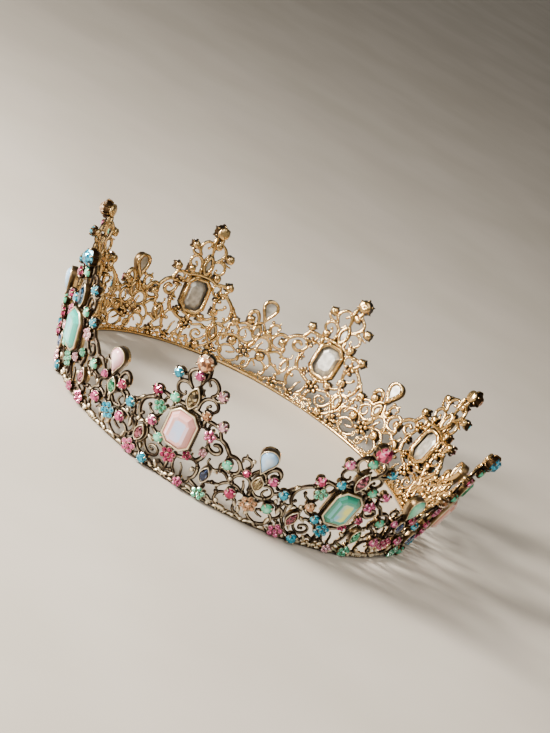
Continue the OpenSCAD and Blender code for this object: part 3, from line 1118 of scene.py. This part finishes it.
@dataclass(frozen=True)
class PalePlaster(Finish):
    """Gypsum plaster, trowelled and matt: the warm grey ground that the crown stands on.

    Clouds of 90 mm keep it from being quite even, and its grain is 1.2 mm.
    """

    name: str = "pale_plaster"
    colour: str = "#cfc8bd"
    shade: str = "#c6bfb3"
    cloud_mm: float = 90.0
    grain_mm: float = 1.2
    relief_mm: float = 0.2

    def surface(self, tree: bpy.types.NodeTree) -> dict:
        """Adds the nodes of the surface.

        Args:
            tree: The material's node tree.

        Returns:
            The shader's values and links, by input name.
        """
        coords = add_node(tree, "TexCoord", {}).outputs["Object"]
        cloud = add_node(tree, "TexNoise", {"Vector": coords, "Scale": per_mm(self.cloud_mm),
                                            "Detail": 3.0})
        grain = add_node(tree, "TexNoise", {"Vector": coords, "Scale": per_mm(self.grain_mm),
                                            "Detail": 2.0})
        colour = add_node(tree, "ValToRGB", {"Fac": cloud.outputs["Fac"]},
                          ((0.35, self.shade), (0.65, self.colour)))
        bump = add_node(tree, "Bump", {"Height": grain.outputs["Fac"], "Strength": 0.08,
                                       "Distance": self.relief_mm * MM})
        return {"Base Color": colour.outputs["Color"], "Roughness": 0.85,
                "Normal": bump.outputs["Normal"]}


class Opal(Enum):
    """The opal glass of the large stones: body, pale, flash and heart colour."""

    PINK = ("#d08584", "#e4aaa4", "#d3c8e2", "#bccdf0")
    GREEN = ("#0d5f4e", "#3fa286", "#eef27c", "#7fc8e4")
    PEACH = ("#d37f70", "#eaae9b", "#f3cdb9", "#f1dce0")
    MINT = ("#178779", "#4fc3af", "#6cc4e6", "#8be0d2")
    TEAL = ("#0f7d74", "#3fb8a6", "#58b2da", "#7fd8ca")
    BLUE = ("#6f9ccb", "#9cc2e6", "#bcd9f0", "#d6e9f8")
    LIGHT_GREEN = ("#3fa884", "#86d5b2", "#b4e8cb", "#d5f4e4")
    ROSE = ("#d98ea2", "#f0bec9", "#f8dade", "#fdf0f1")

    @property
    def slot(self) -> str:
        """The name that the glass's material is built on."""
        return f"{self.name.lower()}_opal_glass"

    def finish(self) -> bpy.types.Material:
        """Returns the glass of a large stone."""
        return OpalGlass(f"pressed_{self.slot}", *self.value).build()


class Crystal(Enum):
    """The crystal of the tips and navettes: deep, body and bright colour."""

    CHAMPAGNE = ("#4a2814", "#b5774c", "#f3c8a4")
    ROSE_RED = ("#4d0722", "#bf1c56", "#f56c9c")
    TURQUOISE = ("#013a4a", "#0290b8", "#38cdf2")
    MINT = ("#1f7358", "#4fc097", "#bff5df")
    CREAM = ("#94714d", "#ecc9a5", "#fff5e4")
    OLIVE = ("#1d170b", "#64522c", "#cdb98a")
    GARNET = ("#1c080c", "#561825", "#d0718a")
    EMERALD = ("#05301f", "#15794f", "#7be3b2")
    NAVY = ("#060a15", "#1a2746", "#6680b8")
    BLUE = ("#05111d", "#14324e", "#5f93bd")

    @property
    def slot(self) -> str:
        """The name that the crystal's material is built on."""
        return f"{self.name.lower()}_crystal"

    def finish(self) -> bpy.types.Material:
        """Returns the crystal of a large stone, whose painted inner reflections are wider and show more."""
        return FoiledCrystal(f"foiled_{self.slot}", *self.value, facet_mm=1.1, inner=0.55).build()


# Stones and their settings

@dataclass(frozen=True)
class CutStone:
    """Makes the cut shapes of the stones, seated with the wall's outer face at height zero."""

    girdle: float = 1.15
    sunk: float = -0.7
    edge: float = 0.2
    dome_levels: int = 6
    dome_lean_deg: float = 84.0
    dome_heart: float = 0.8

    def brilliant(self, diameter: float, rise: float, sides: int = 8) -> Casting:
        """Cuts a round stone with a table, star and kite facets and a pavilion.

        Args:
            diameter: The diameter at the girdle.
            rise: The height of the table.
            sides: The number of main facets.

        Returns:
            The stone.
        """
        # Share of the diameter, height, and turn in facets
        rows = [(0.12, self.sunk, 0.0), (1.0, self.girdle - self.edge, 0.0), (1.0, self.girdle, 0.0),
                (0.84, between(self.girdle, rise, 0.55), 0.5), (0.56, rise, 0.0)]
        stone = Casting()
        rings = [ring(disc(diameter * share, sides, turned), height) for share, height, turned in rows]
        stone.loft(rings, Matrix.Identity(4), flat=True, finish=StoneFace.FRONT, back=StoneFace.FOIL)
        return stone

    def star(self, diameter: float, rise: float) -> Casting:
        """Cuts a stone with five blunt points, which show between its claws.

        Args:
            diameter: The diameter of the round stone that it is cut from.
            rise: The height of the table.

        Returns:
            The stone.
        """
        # Share of the diameter, height, and how far the points stand out and the notches in
        rows = [(0.3, self.sunk, 0.0), (1.0, self.girdle - self.edge, 0.14), (1.0, self.girdle, 0.14),
                (0.5, rise, 0.06)]
        corners = 10
        stone = Casting()
        rings = []
        for share, height, point in rows:
            outline = disc(diameter * share, corners)
            rings.append(ring([(x * (1 + point * (-1) ** i), y * (1 + point * (-1) ** i))
                               for i, (x, y) in enumerate(outline)], height))
        stone.loft(rings, Matrix.Identity(4), flat=True, finish=StoneFace.FRONT, back=StoneFace.FOIL)
        return stone

    def dome(self, outline: Outline, rise: float) -> Casting:
        """Shapes a smooth domed stone over an outline.

        Args:
            outline: The outline at the girdle.
            rise: The height of the dome.

        Returns:
            The stone.
        """
        stone = Casting()
        rings = [ring(scaled(outline, 0.7), self.sunk), ring(outline, self.girdle - 0.3)]
        hearts = [0.0, 0.0]
        for k in range(self.dome_levels + 1):
            lean = math.radians(self.dome_lean_deg) * k / self.dome_levels
            height = self.girdle + (rise - self.girdle) * math.sin(lean)
            rings.append(ring(scaled(outline, math.cos(lean)), height))
            hearts.append(self.dome_heart * k / self.dome_levels)
        stone.loft(rings, Matrix.Identity(4), finish=StoneFace.FRONT, back=StoneFace.FOIL,
                   hearts=tuple(hearts))
        return stone

    def stepped(self, outline: Outline, rise: float, steps: Steps) -> Casting:
        """Cuts a stone in steps that follow its outline, up to a flat table.

        Args:
            outline: The outline at the girdle.
            rise: The height of the table.
            steps: For each step, the distance in from the outline, the share of the rise, and how
                near it is to the heart.

        Returns:
            The stone.
        """
        stone = Casting()
        rings = [ring(scaled(outline, 0.55), self.sunk), ring(outline, self.girdle - self.edge)]
        for inset, share, _ in steps:
            rings.append(ring(grown(outline, -inset), between(self.girdle, rise, share)))
        hearts = (0.0, 0.0, *(near for _, _, near in steps))
        stone.loft(rings, Matrix.Identity(4), flat=True, finish=StoneFace.FRONT, back=StoneFace.FOIL,
                   hearts=hearts)
        return stone


CUT = CutStone()
FLOWER_CUT = CutStone(girdle=0.75, sunk=-0.4)
TIP_CUT = CutStone(girdle=2.1, sunk=-0.8)

# A round stone's diameter as a share of its cup's
SEATED = 0.98

# The stretches along a side of a bezel, a cut stone and a leaf, and round a pear's end
BEZEL_STEPS = 8
CUT_STEPS = 6
LEAF_STEPS = 5
DROP_STEPS = 10

# The steps of the octagons and of the thin navettes, as CutStone.stepped takes them
OCTAGON_STEPS: Steps = ((0.0, 0.0, 0.0), (0.0, 0.3, 0.05), (0.9, 0.7, 0.25), (1.8, 1.0, 0.4),
                        (2.8, 1.0, 0.47), (3.5, 1.0, 1.0))
THIN_STEPS: Steps = ((0.0, 0.0, 0.0), (0.45, 0.6, 0.5), (0.85, 1.0, 0.9))


@dataclass(frozen=True)
class Setting:
    """The cast metal that holds a stone: a cup with claws, or a bezel."""

    depth: float = 1.5
    claw_radius: float = 0.34
    claw_stone: float = 4.2
    strand: float = 0.24
    orbit: float = 0.2
    twist: float = 1.7
    step: float = 0.28
    cup_sides: int = 12
    claw_sides: int = 6
    strand_sides: int = 5

    def cup(self, casting: Casting, diameter: float, claws: int, at: Matrix, top: float = 1.15) -> None:
        """Adds a cup with a domed back, and claws bent over the stone.

        Args:
            casting: The casting that it joins.
            diameter: The stone's diameter.
            claws: The number of claws.
            at: The seat.
            top: The height of the girdle.
        """
        # Share of the diameter and height, from the back of the dome to the lip
        rows = [(0.3, -self.depth - 0.4), (0.66, -self.depth - 0.2), (0.84, -self.depth + 0.2),
                (0.78, -0.4), (1.02, top - 0.3), (1.04, top), (0.97, top)]
        rings = [ring(disc(diameter * share, self.cup_sides), height) for share, height in rows]
        casting.loft(rings, at, finish=Metal.CUPS)
        # Share of the radius and height, from the foot of a claw to its end over the stone
        steps = [(0.82, -0.3), (1.02, 0.6), (1.09, top + 0.2), (0.93, top + 0.72), (0.8, top + 0.82)]
        reach = diameter / 2
        radius = self.claw_radius * (diameter / self.claw_stone) ** 0.5
        for k in range(claws):
            turn = FULL_TURN * (k + 0.5) / claws
            out = Vector((math.cos(turn), math.sin(turn), 0.0))
            path = [at @ (out * reach * share + Vector((0.0, 0.0, height))) for share, height in steps]
            casting.tube(path, [radius, radius, radius, radius, radius * 0.75], self.claw_sides,
                         finish=Metal.CUPS)
            casting.ball(path[-1], radius * 0.95, Metal.EDGES)

    def bezel(self, casting: Casting, outline: Outline, wide: float, tall: float, at: Matrix) -> None:
        """Adds a bezel: a strip of metal bent round the stone, with a rolled lip.

        Args:
            casting: The casting that it joins.
            outline: The stone's outline.
            wide: The width of the metal at its foot.
            tall: The height of the lip.
            at: The seat.
        """
        # Distance out and height: up the outside, over the rolled lip and down the inside
        profile = [(wide, -self.depth), (wide, tall * 0.78), (wide * 0.86, tall * 0.95),
                   (wide * 0.5, tall), (0.02, tall * 0.93), (0.02, 0.2), (-0.7, -0.2),
                   (-0.7, -self.depth)]
        casting.band(outline, profile, at, Metal.EDGES)

    def rope(self, casting: Casting, outline: Outline, out: float, height: float, at: Matrix) -> None:
        """Lays a twisted wire of two strands round a bezel's foot.

        Args:
            casting: The casting that it joins.
            outline: The stone's outline.
            out: The distance out from the outline.
            height: The height over the seat.
            at: The seat.
        """
        corners = ring(grown(outline, out), height)
        up = Vector((0, 0, 1))
        lengths = [(corners[(i + 1) % len(corners)] - p).length for i, p in enumerate(corners)]
        whole = sum(lengths)
        turns = round(whole / self.twist)
        samples = round(whole / self.step)
        for phase in (0.0, math.pi):
            path = []
            for k in range(samples):
                left = whole * k / samples
                i = 0
                while left > lengths[i]:
                    left -= lengths[i]
                    i += 1
                along = (corners[(i + 1) % len(corners)] - corners[i]).normalized()
                middle = corners[i] + along * left
                side = Vector((along.y, -along.x, 0.0))
                spin = FULL_TURN * turns * k / samples + phase
                path.append(at @ (middle + self.orbit * (math.cos(spin) * side + math.sin(spin) * up)))
            casting.tube(path, [self.strand] * samples, self.strand_sides, closed=True)


@dataclass
class Panel:
    """One cast panel: its scroll wires, cups, bezels, leaves and beads. All eight are alike."""

    setting: Setting = field(default_factory=Setting)
    octagon_size: tuple[float, float, float] = (10.3, 14.2, 2.5)
    pear_size: tuple[float, float] = (6.4, 9.7)
    navette_size: tuple[float, float] = (3.9, 8.6)
    tip_size: float = 6.6
    tip_claws: int = 6
    tip_top: float = 1.9
    flower_top: float = 0.75
    flower_cup: float = 1.04
    wire_steps: int = 5
    wire_sides: int = 8
    wire_share: float = 1.08
    wire_swell: float = 0.28
    end_share: float = 1.06
    knot_radius: float = 1.0
    knot_squash: float = 0.9
    knot_lift: float = -0.55
    bead_radius: float = 0.85
    bead_lift: float = -0.2
    casting: Casting = field(default_factory=Casting)

    def wires(self) -> None:
        """Bends every scroll wire along the wall, a little thicker in its middle."""
        for wire in SCROLLS:
            places = through(wire.places, self.wire_steps)
            path = [WALL.point(place, wire.lift) for place in places]
            last = len(path) - 1
            radii = [between(wire.start, wire.end, i / last)
                     * (self.wire_share + self.wire_swell * math.sin(math.pi * i / last))
                     for i in range(last + 1)]
            self.casting.tube(path, radii, self.wire_sides)
            self.casting.ball(path[0], wire.start * self.end_share)
            self.casting.ball(path[-1], max(wire.bead, wire.end) * self.end_share)

    def settings(self) -> None:
        """Adds the cups of the round stones and flowers, and the bezels of the others."""
        setting, casting = self.setting, self.casting
        for stone in ROUNDS:
            setting.cup(casting, stone.diameter, stone.claws, WALL.seat(stone.place))
        setting.cup(casting, self.tip_size, self.tip_claws, WALL.seat(TIP_AT), self.tip_top)
        for flower in FLOWERS:
            for place, size in flower.stones():
                at = WALL.seat(flower.place) @ place
                setting.cup(casting, size * self.flower_cup, 0, at, self.flower_top)
        # Outline, width and height of each bezel, and its seat
        bezels = [(lens(stone.width, stone.length, BEZEL_STEPS), 0.42, 1.6,
                   WALL.seat(stone.place, stone.turn_deg)) for stone in NAVETTES]
        big = octagon(*self.octagon_size)
        bezels += [
            (lens(*self.navette_size, BEZEL_STEPS), 0.48, 1.8, WALL.seat(NAVETTE_AT)),
            (drop(*self.pear_size, DROP_STEPS), 0.42, 1.9, WALL.seat(PEAR_AT)),
            (big, 0.8, 2.4, WALL.seat(OCTAGON_AT)),
        ]
        for outline, wide, tall, at in bezels:
            setting.bezel(casting, outline, wide, tall, at)
        setting.rope(casting, big, 1.0, 0.5, WALL.seat(OCTAGON_AT))

    def leaves(self) -> None:
        """Adds the small leaves, dark knots and loose bright beads of the casting."""
        # Share of the outline and height, from a leaf's back to its ridge, which narrows more
        # across than along
        rows = [(0.9, -1.1), (1.0, -0.6), (0.62, 0.1), (0.12, 0.35)]
        for leaf in LEAVES + GARLAND:
            outline = lens(leaf.width, leaf.length, LEAF_STEPS)
            rings = [ring([(x * share, y * (0.6 + 0.4 * share)) for x, y in outline], height)
                     for share, height in rows]
            self.casting.loft(rings, WALL.seat(leaf.place, leaf.turn_deg), finish=Metal.EDGES)
        for place in KNOTS:
            self.casting.ball(WALL.point(place, self.knot_lift), self.knot_radius,
                              squash=self.knot_squash)
        for place in BEADS:
            self.casting.ball(WALL.point(place, self.bead_lift), self.bead_radius, Metal.EDGES)

    def build(self, finishes: list[bpy.types.Material]) -> list[bpy.types.Object]:
        """Casts the panel once and sets eight copies round the ring.

        Args:
            finishes: The metal finishes, in the order of Metal.

        Returns:
            The eight pieces.
        """
        self.wires()
        self.settings()
        self.leaves()
        first = self.casting.mesh("panel_scrolls", finishes)
        pieces = []
        for k in range(PANELS):
            mesh = first.copy() if k else first
            mesh.transform(panel_turn(k))
            pieces.append(show(mesh, f"panel_scrolls_{k + 1}", "frame"))
        return pieces


@dataclass
class Rim:
    """The smooth round wire along the foot, on the inner side of the panels."""

    radius: float = 76.1
    wire: float = 0.68
    height: float = 0.72
    rounds: int = 256
    sides: int = 12

    def build(self, finishes: list[bpy.types.Material]) -> bpy.types.Object:
        """Makes the rim.

        Args:
            finishes: The metal finishes, in the order of Metal.

        Returns:
            The piece.
        """
        casting = Casting()
        turns = [FULL_TURN * i / self.rounds for i in range(self.rounds)]
        path = [Vector((self.radius * math.sin(a), -self.radius * math.cos(a), self.height)) for a in turns]
        casting.tube(path, [self.wire] * self.rounds, self.sides, closed=True)
        return show(casting.mesh("rim_wire", finishes), "rim_wire", "frame")


@dataclass
class SmallStones:
    """All small stones of one hue, round the whole crown."""

    hue: Hue
    foil: bpy.types.Material
    rise: float = 2.4
    drop_sides: int = 14
    flower_rise: float = 1.55
    flower_share: float = 0.96
    flower_facets: int = 7
    navette_rise: float = 2.3

    def chosen(self, table: tuple, k: int) -> list:
        """Returns a table's entries that have this hue in a panel."""
        return [entry for entry in table if entry.hues[k] == self.hue.letter]

    def finishes(self) -> list[bpy.types.Material]:
        """Makes the materials of the hue's stones.

        Returns:
            The materials, in the order of StoneFace.
        """
        slot, tones = self.hue.slot, self.hue.tones
        crystal = FoiledCrystal(f"foiled_{slot}", *tones).build()
        rounds = crystal
        if self.hue.milky:
            rounds = OpalGlass(f"pressed_opal_{slot}", body="#2f8f70", pale=tones[1], flash="#84dab9",
                               heart=tones[2]).build()
        look = NAVETTE_CRYSTALS.get(self.hue, Crystal.NAVY)
        return [rounds, self.foil, crystal, FoiledCrystal(f"foiled_navette_{slot}", *look.value).build()]

    def round(self, stone: RoundStone) -> Casting:
        """Cuts one round stone: a smooth drop, a star under five claws or a brilliant.

        Args:
            stone: The stone's entry in the table.

        Returns:
            The stone.
        """
        if self.hue.milky:
            return CUT.dome(disc(stone.diameter * SEATED, self.drop_sides), self.rise)
        if stone.starred:
            return CUT.star(stone.diameter, self.rise)
        return CUT.brilliant(stone.diameter * SEATED, self.rise)

    def build(self) -> bpy.types.Object:
        """Sets the stones of this hue in every panel.

        Returns:
            The piece.
        """
        stones = Casting()
        for k in range(PANELS):
            panel = panel_turn(k)
            for stone in self.chosen(ROUNDS, k):
                stones.add(self.round(stone), panel @ WALL.seat(stone.place))
            for flower in self.chosen(FLOWERS, k):
                for place, size in flower.stones():
                    cut = FLOWER_CUT.brilliant(size * self.flower_share, self.flower_rise,
                                               self.flower_facets)
                    stones.add(cut, panel @ WALL.seat(flower.place) @ place, StoneFace.FLOWER)
            for stone in self.chosen(NAVETTES, k):
                outline = lens(stone.width, stone.length, CUT_STEPS)
                cut = CUT.stepped(outline, self.navette_rise, THIN_STEPS)
                stones.add(cut, panel @ WALL.seat(stone.place, stone.turn_deg), StoneFace.NAVETTE)
        mesh = stones.mesh(self.hue.node, self.finishes())
        return show(mesh, f"{self.hue.name.lower()}_gems", self.hue.node)


NAVETTE_CRYSTALS = {Hue.NAVY: Crystal.NAVY, Hue.RUBY: Crystal.GARNET, Hue.CHAMPAGNE: Crystal.OLIVE,
                    Hue.MINT: Crystal.EMERALD}


@dataclass(frozen=True)
class MainColours:
    """The colours of the main stones, panel by panel."""

    octagons: tuple[Opal, ...] = (Opal.PINK, Opal.GREEN, Opal.PEACH, Opal.MINT, Opal.PINK, Opal.PEACH,
                                  Opal.MINT, Opal.TEAL)
    pears: tuple[Opal, ...] = (Opal.BLUE, Opal.LIGHT_GREEN, Opal.ROSE, Opal.BLUE, Opal.LIGHT_GREEN,
                               Opal.ROSE, Opal.BLUE, Opal.ROSE)
    navettes: tuple[Crystal, ...] = (Crystal.OLIVE, Crystal.GARNET, Crystal.EMERALD, Crystal.NAVY,
                                     Crystal.OLIVE, Crystal.GARNET, Crystal.EMERALD, Crystal.BLUE)
    tips: tuple[Crystal, ...] = (Crystal.CHAMPAGNE, Crystal.ROSE_RED, Crystal.TURQUOISE,
                                 Crystal.CHAMPAGNE, Crystal.ROSE_RED, Crystal.MINT, Crystal.CREAM,
                                 Crystal.TURQUOISE)


@dataclass
class MainStones:
    """The four large stones of every panel, each a piece of its own."""

    panel: Panel
    foil: bpy.types.Material
    colours: MainColours = field(default_factory=MainColours)
    octagon_rise: float = 3.8
    pear_rise: float = 3.5
    navette_rise: float = 2.6
    tip_rise: float = 4.3
    tip_facets: int = 10
    finishes: dict[Opal | Crystal, bpy.types.Material] = field(default_factory=dict)

    def finish(self, look: Opal | Crystal) -> bpy.types.Material:
        """Finds or makes a stone's material.

        Args:
            look: The stone's glass or crystal.

        Returns:
            The material.
        """
        if look not in self.finishes:
            self.finishes[look] = look.finish()
        return self.finishes[look]

    def build(self) -> list[bpy.types.Object]:
        """Sets the main stones.

        Returns:
            The pieces.
        """
        big = octagon(*self.panel.octagon_size)
        pear = drop(*self.panel.pear_size, DROP_STEPS)
        thin = lens(*self.panel.navette_size, CUT_STEPS)
        round_size = self.panel.tip_size * SEATED
        colours = self.colours
        rows = [
            ("octagon", CUT.stepped(big, self.octagon_rise, OCTAGON_STEPS), OCTAGON_AT, colours.octagons),
            ("pear", CUT.dome(pear, self.pear_rise), PEAR_AT, colours.pears),
            ("navette", CUT.stepped(thin, self.navette_rise, THIN_STEPS), NAVETTE_AT, colours.navettes),
            ("tip", TIP_CUT.brilliant(round_size, self.tip_rise, self.tip_facets), TIP_AT, colours.tips),
        ]
        pieces = []
        for kind, shape, place, looks in rows:
            for k, look in enumerate(looks):
                stone = Casting()
                stone.add(shape, panel_turn(k) @ WALL.seat(place))
                node = f"{kind}_{k + 1}"
                mesh = stone.mesh(node, [self.finish(look), self.foil])
                pieces.append(show(mesh, f"{kind}_gem_{k + 1}", node))
        return pieces


# The studio

@dataclass(frozen=True)
class Camera:
    """The camera at the photograph's turn, roll and distance, over the floor.

    The photograph looks at the tilted crown from 17 degrees under the plane of its rim. No camera
    over the floor can do that while the crown stands, so the same 17 degrees are taken over it.
    """

    turn_deg: float = 12.4
    rise_deg: float = 17.0
    roll_deg: float = 29.8
    distance: float = 760.0
    lens_mm: float = 96.9
    aim_height: float = 25.0
    aim_right: float = 3.7
    aim_up: float = 7.0

    def axes(self) -> tuple[Vector, Vector, Vector]:
        """Works out how the camera is turned.

        Returns:
            Its right, up and backward directions.
        """
        turn, rise = math.radians(self.turn_deg), math.radians(self.rise_deg)
        back = Vector((math.cos(rise) * math.sin(turn), -math.cos(rise) * math.cos(turn), math.sin(rise)))
        level = Vector((0.0, 0.0, 1.0)).cross(back).normalized()
        upright = back.cross(level)
        roll = math.radians(self.roll_deg)
        right = level * math.cos(roll) + upright * math.sin(roll)
        return right, back.cross(right), back

    def build(self) -> None:
        """Makes the camera and hands it to the scene."""
        right, up, back = self.axes()
        aim = Vector((0.0, 0.0, self.aim_height)) + right * self.aim_right + up * self.aim_up
        place = (aim + back * self.distance) * MM
        data = bpy.data.cameras.new("camera")
        data.lens = self.lens_mm
        data.clip_start = 0.02
        camera = bpy.data.objects.new("camera", data)
        camera.matrix_world = Matrix.Translation(place) @ Matrix((right, up, back)).transposed().to_4x4()
        bpy.context.scene.collection.objects.link(camera)
        bpy.context.scene.camera = camera


@dataclass(frozen=True)
class Lamp:
    """One soft square lamp, in metres and watts.

    Its way is its direction from the crown along the camera's right, up and back.
    """

    name: str
    way: tuple[float, float, float]
    distance: float
    size: float
    watts: float
    colour: str = "#fff6ea"

    def build(self, camera: Camera) -> None:
        """Hangs the lamp, facing the crown.

        Args:
            camera: The camera that its way is told from.
        """
        right, up, back = camera.axes()
        way = (right * self.way[0] + up * self.way[1] + back * self.way[2]).normalized()
        data = bpy.data.lights.new(self.name, "AREA")
        data.size = self.size
        data.energy = self.watts
        data.color = linear(self.colour)[:3]
        lamp = bpy.data.objects.new(self.name, data)
        facing = way.to_track_quat("Z", "Y").to_matrix().to_4x4()
        lamp.matrix_world = Matrix.Translation(way * self.distance) @ facing
        bpy.context.scene.collection.objects.link(lamp)


@dataclass(frozen=True)
class Studio:
    """A plain pale floor and soft light from the upper left, as in the photograph."""

    camera: Camera
    floor_size: float = 6.0
    sky: str = "#fbf6ee"
    shade: str = "#4a463f"
    sky_strength: float = 0.5
    lamps: tuple[Lamp, ...] = (
        Lamp("window", (-0.6, 0.8, 0.45), 0.65, 0.2, 16.0),
        Lamp("fill", (0.6, 0.5, 0.9), 1.1, 0.8, 5.0),
        Lamp("glints", (-0.35, 0.25, 1.0), 1.2, 0.09, 6.5),
    )

    def floor(self) -> None:
        """Lays the floor."""
        half = self.floor_size / 2
        mesh = bpy.data.meshes.new("floor")
        corners = [(-half, -half, 0.0), (half, -half, 0.0), (half, half, 0.0), (-half, half, 0.0)]
        mesh.from_pydata(corners, [], [(0, 1, 2, 3)])
        mesh.materials.append(PalePlaster().build())
        floor = bpy.data.objects.new("floor", mesh)
        bpy.context.scene.collection.objects.link(floor)

    def sky_light(self) -> None:
        """Surrounds the crown with broad light and dark parts of a room, for the metal to mirror."""
        world = bpy.data.worlds.new("sky")
        world.use_nodes = True
        tree = world.node_tree
        tree.nodes.clear()
        way = add_node(tree, "TexCoord", {}).outputs["Generated"]
        room = add_node(tree, "TexNoise", {"Vector": way, "Scale": 2.6, "Detail": 1.0})
        light = add_node(tree, "ValToRGB", {"Fac": room.outputs["Fac"]},
                         ((0.42, self.shade), (0.62, self.sky)))
        sky = add_node(tree, "Background", {"Color": light.outputs["Color"],
                                            "Strength": self.sky_strength})
        add_node(tree, "OutputWorld", {"Surface": sky.outputs["Background"]})
        bpy.context.scene.world = world

    def build(self) -> None:
        """Sets up the floor, sky and lamps."""
        self.floor()
        self.sky_light()
        for lamp in self.lamps:
            lamp.build(self.camera)


def main() -> None:
    """Builds the crown and its studio."""
    logging.basicConfig(level=logging.INFO, format="%(message)s")
    LOG.info("packed nodes: %d", len(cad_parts))
    casting = AntiquedCasting("antiqued_gold_casting")
    # Bezels, leaves and beads take a broad painted highlight over their worn gold
    edges = AntiquedCasting("wear_and_highlight_gold_edges", dark="#65523a", brown="#a58c67", gold="#f0e3c4",
                            wear_and_highlight_from=0.3, wear_and_highlight_to=1.0)
    cups = AntiquedCasting("antiqued_gold_cups", dark="#3b2c1c", brown="#715e48", gold="#d9c9ab",
                           wear_and_highlight_from=0.6, wear_and_highlight_to=1.2)
    metals = [look.build() for look in (casting, edges, cups)]
    foil = SilverFoil().build()
    panel = Panel()
    panel.build(metals)
    Rim().build(metals)
    MainStones(panel, foil).build()
    for hue in Hue:
        SmallStones(hue, foil).build()
    camera = Camera()
    camera.build()
    Studio(camera).build()


if __name__ == "__main__":
    main()
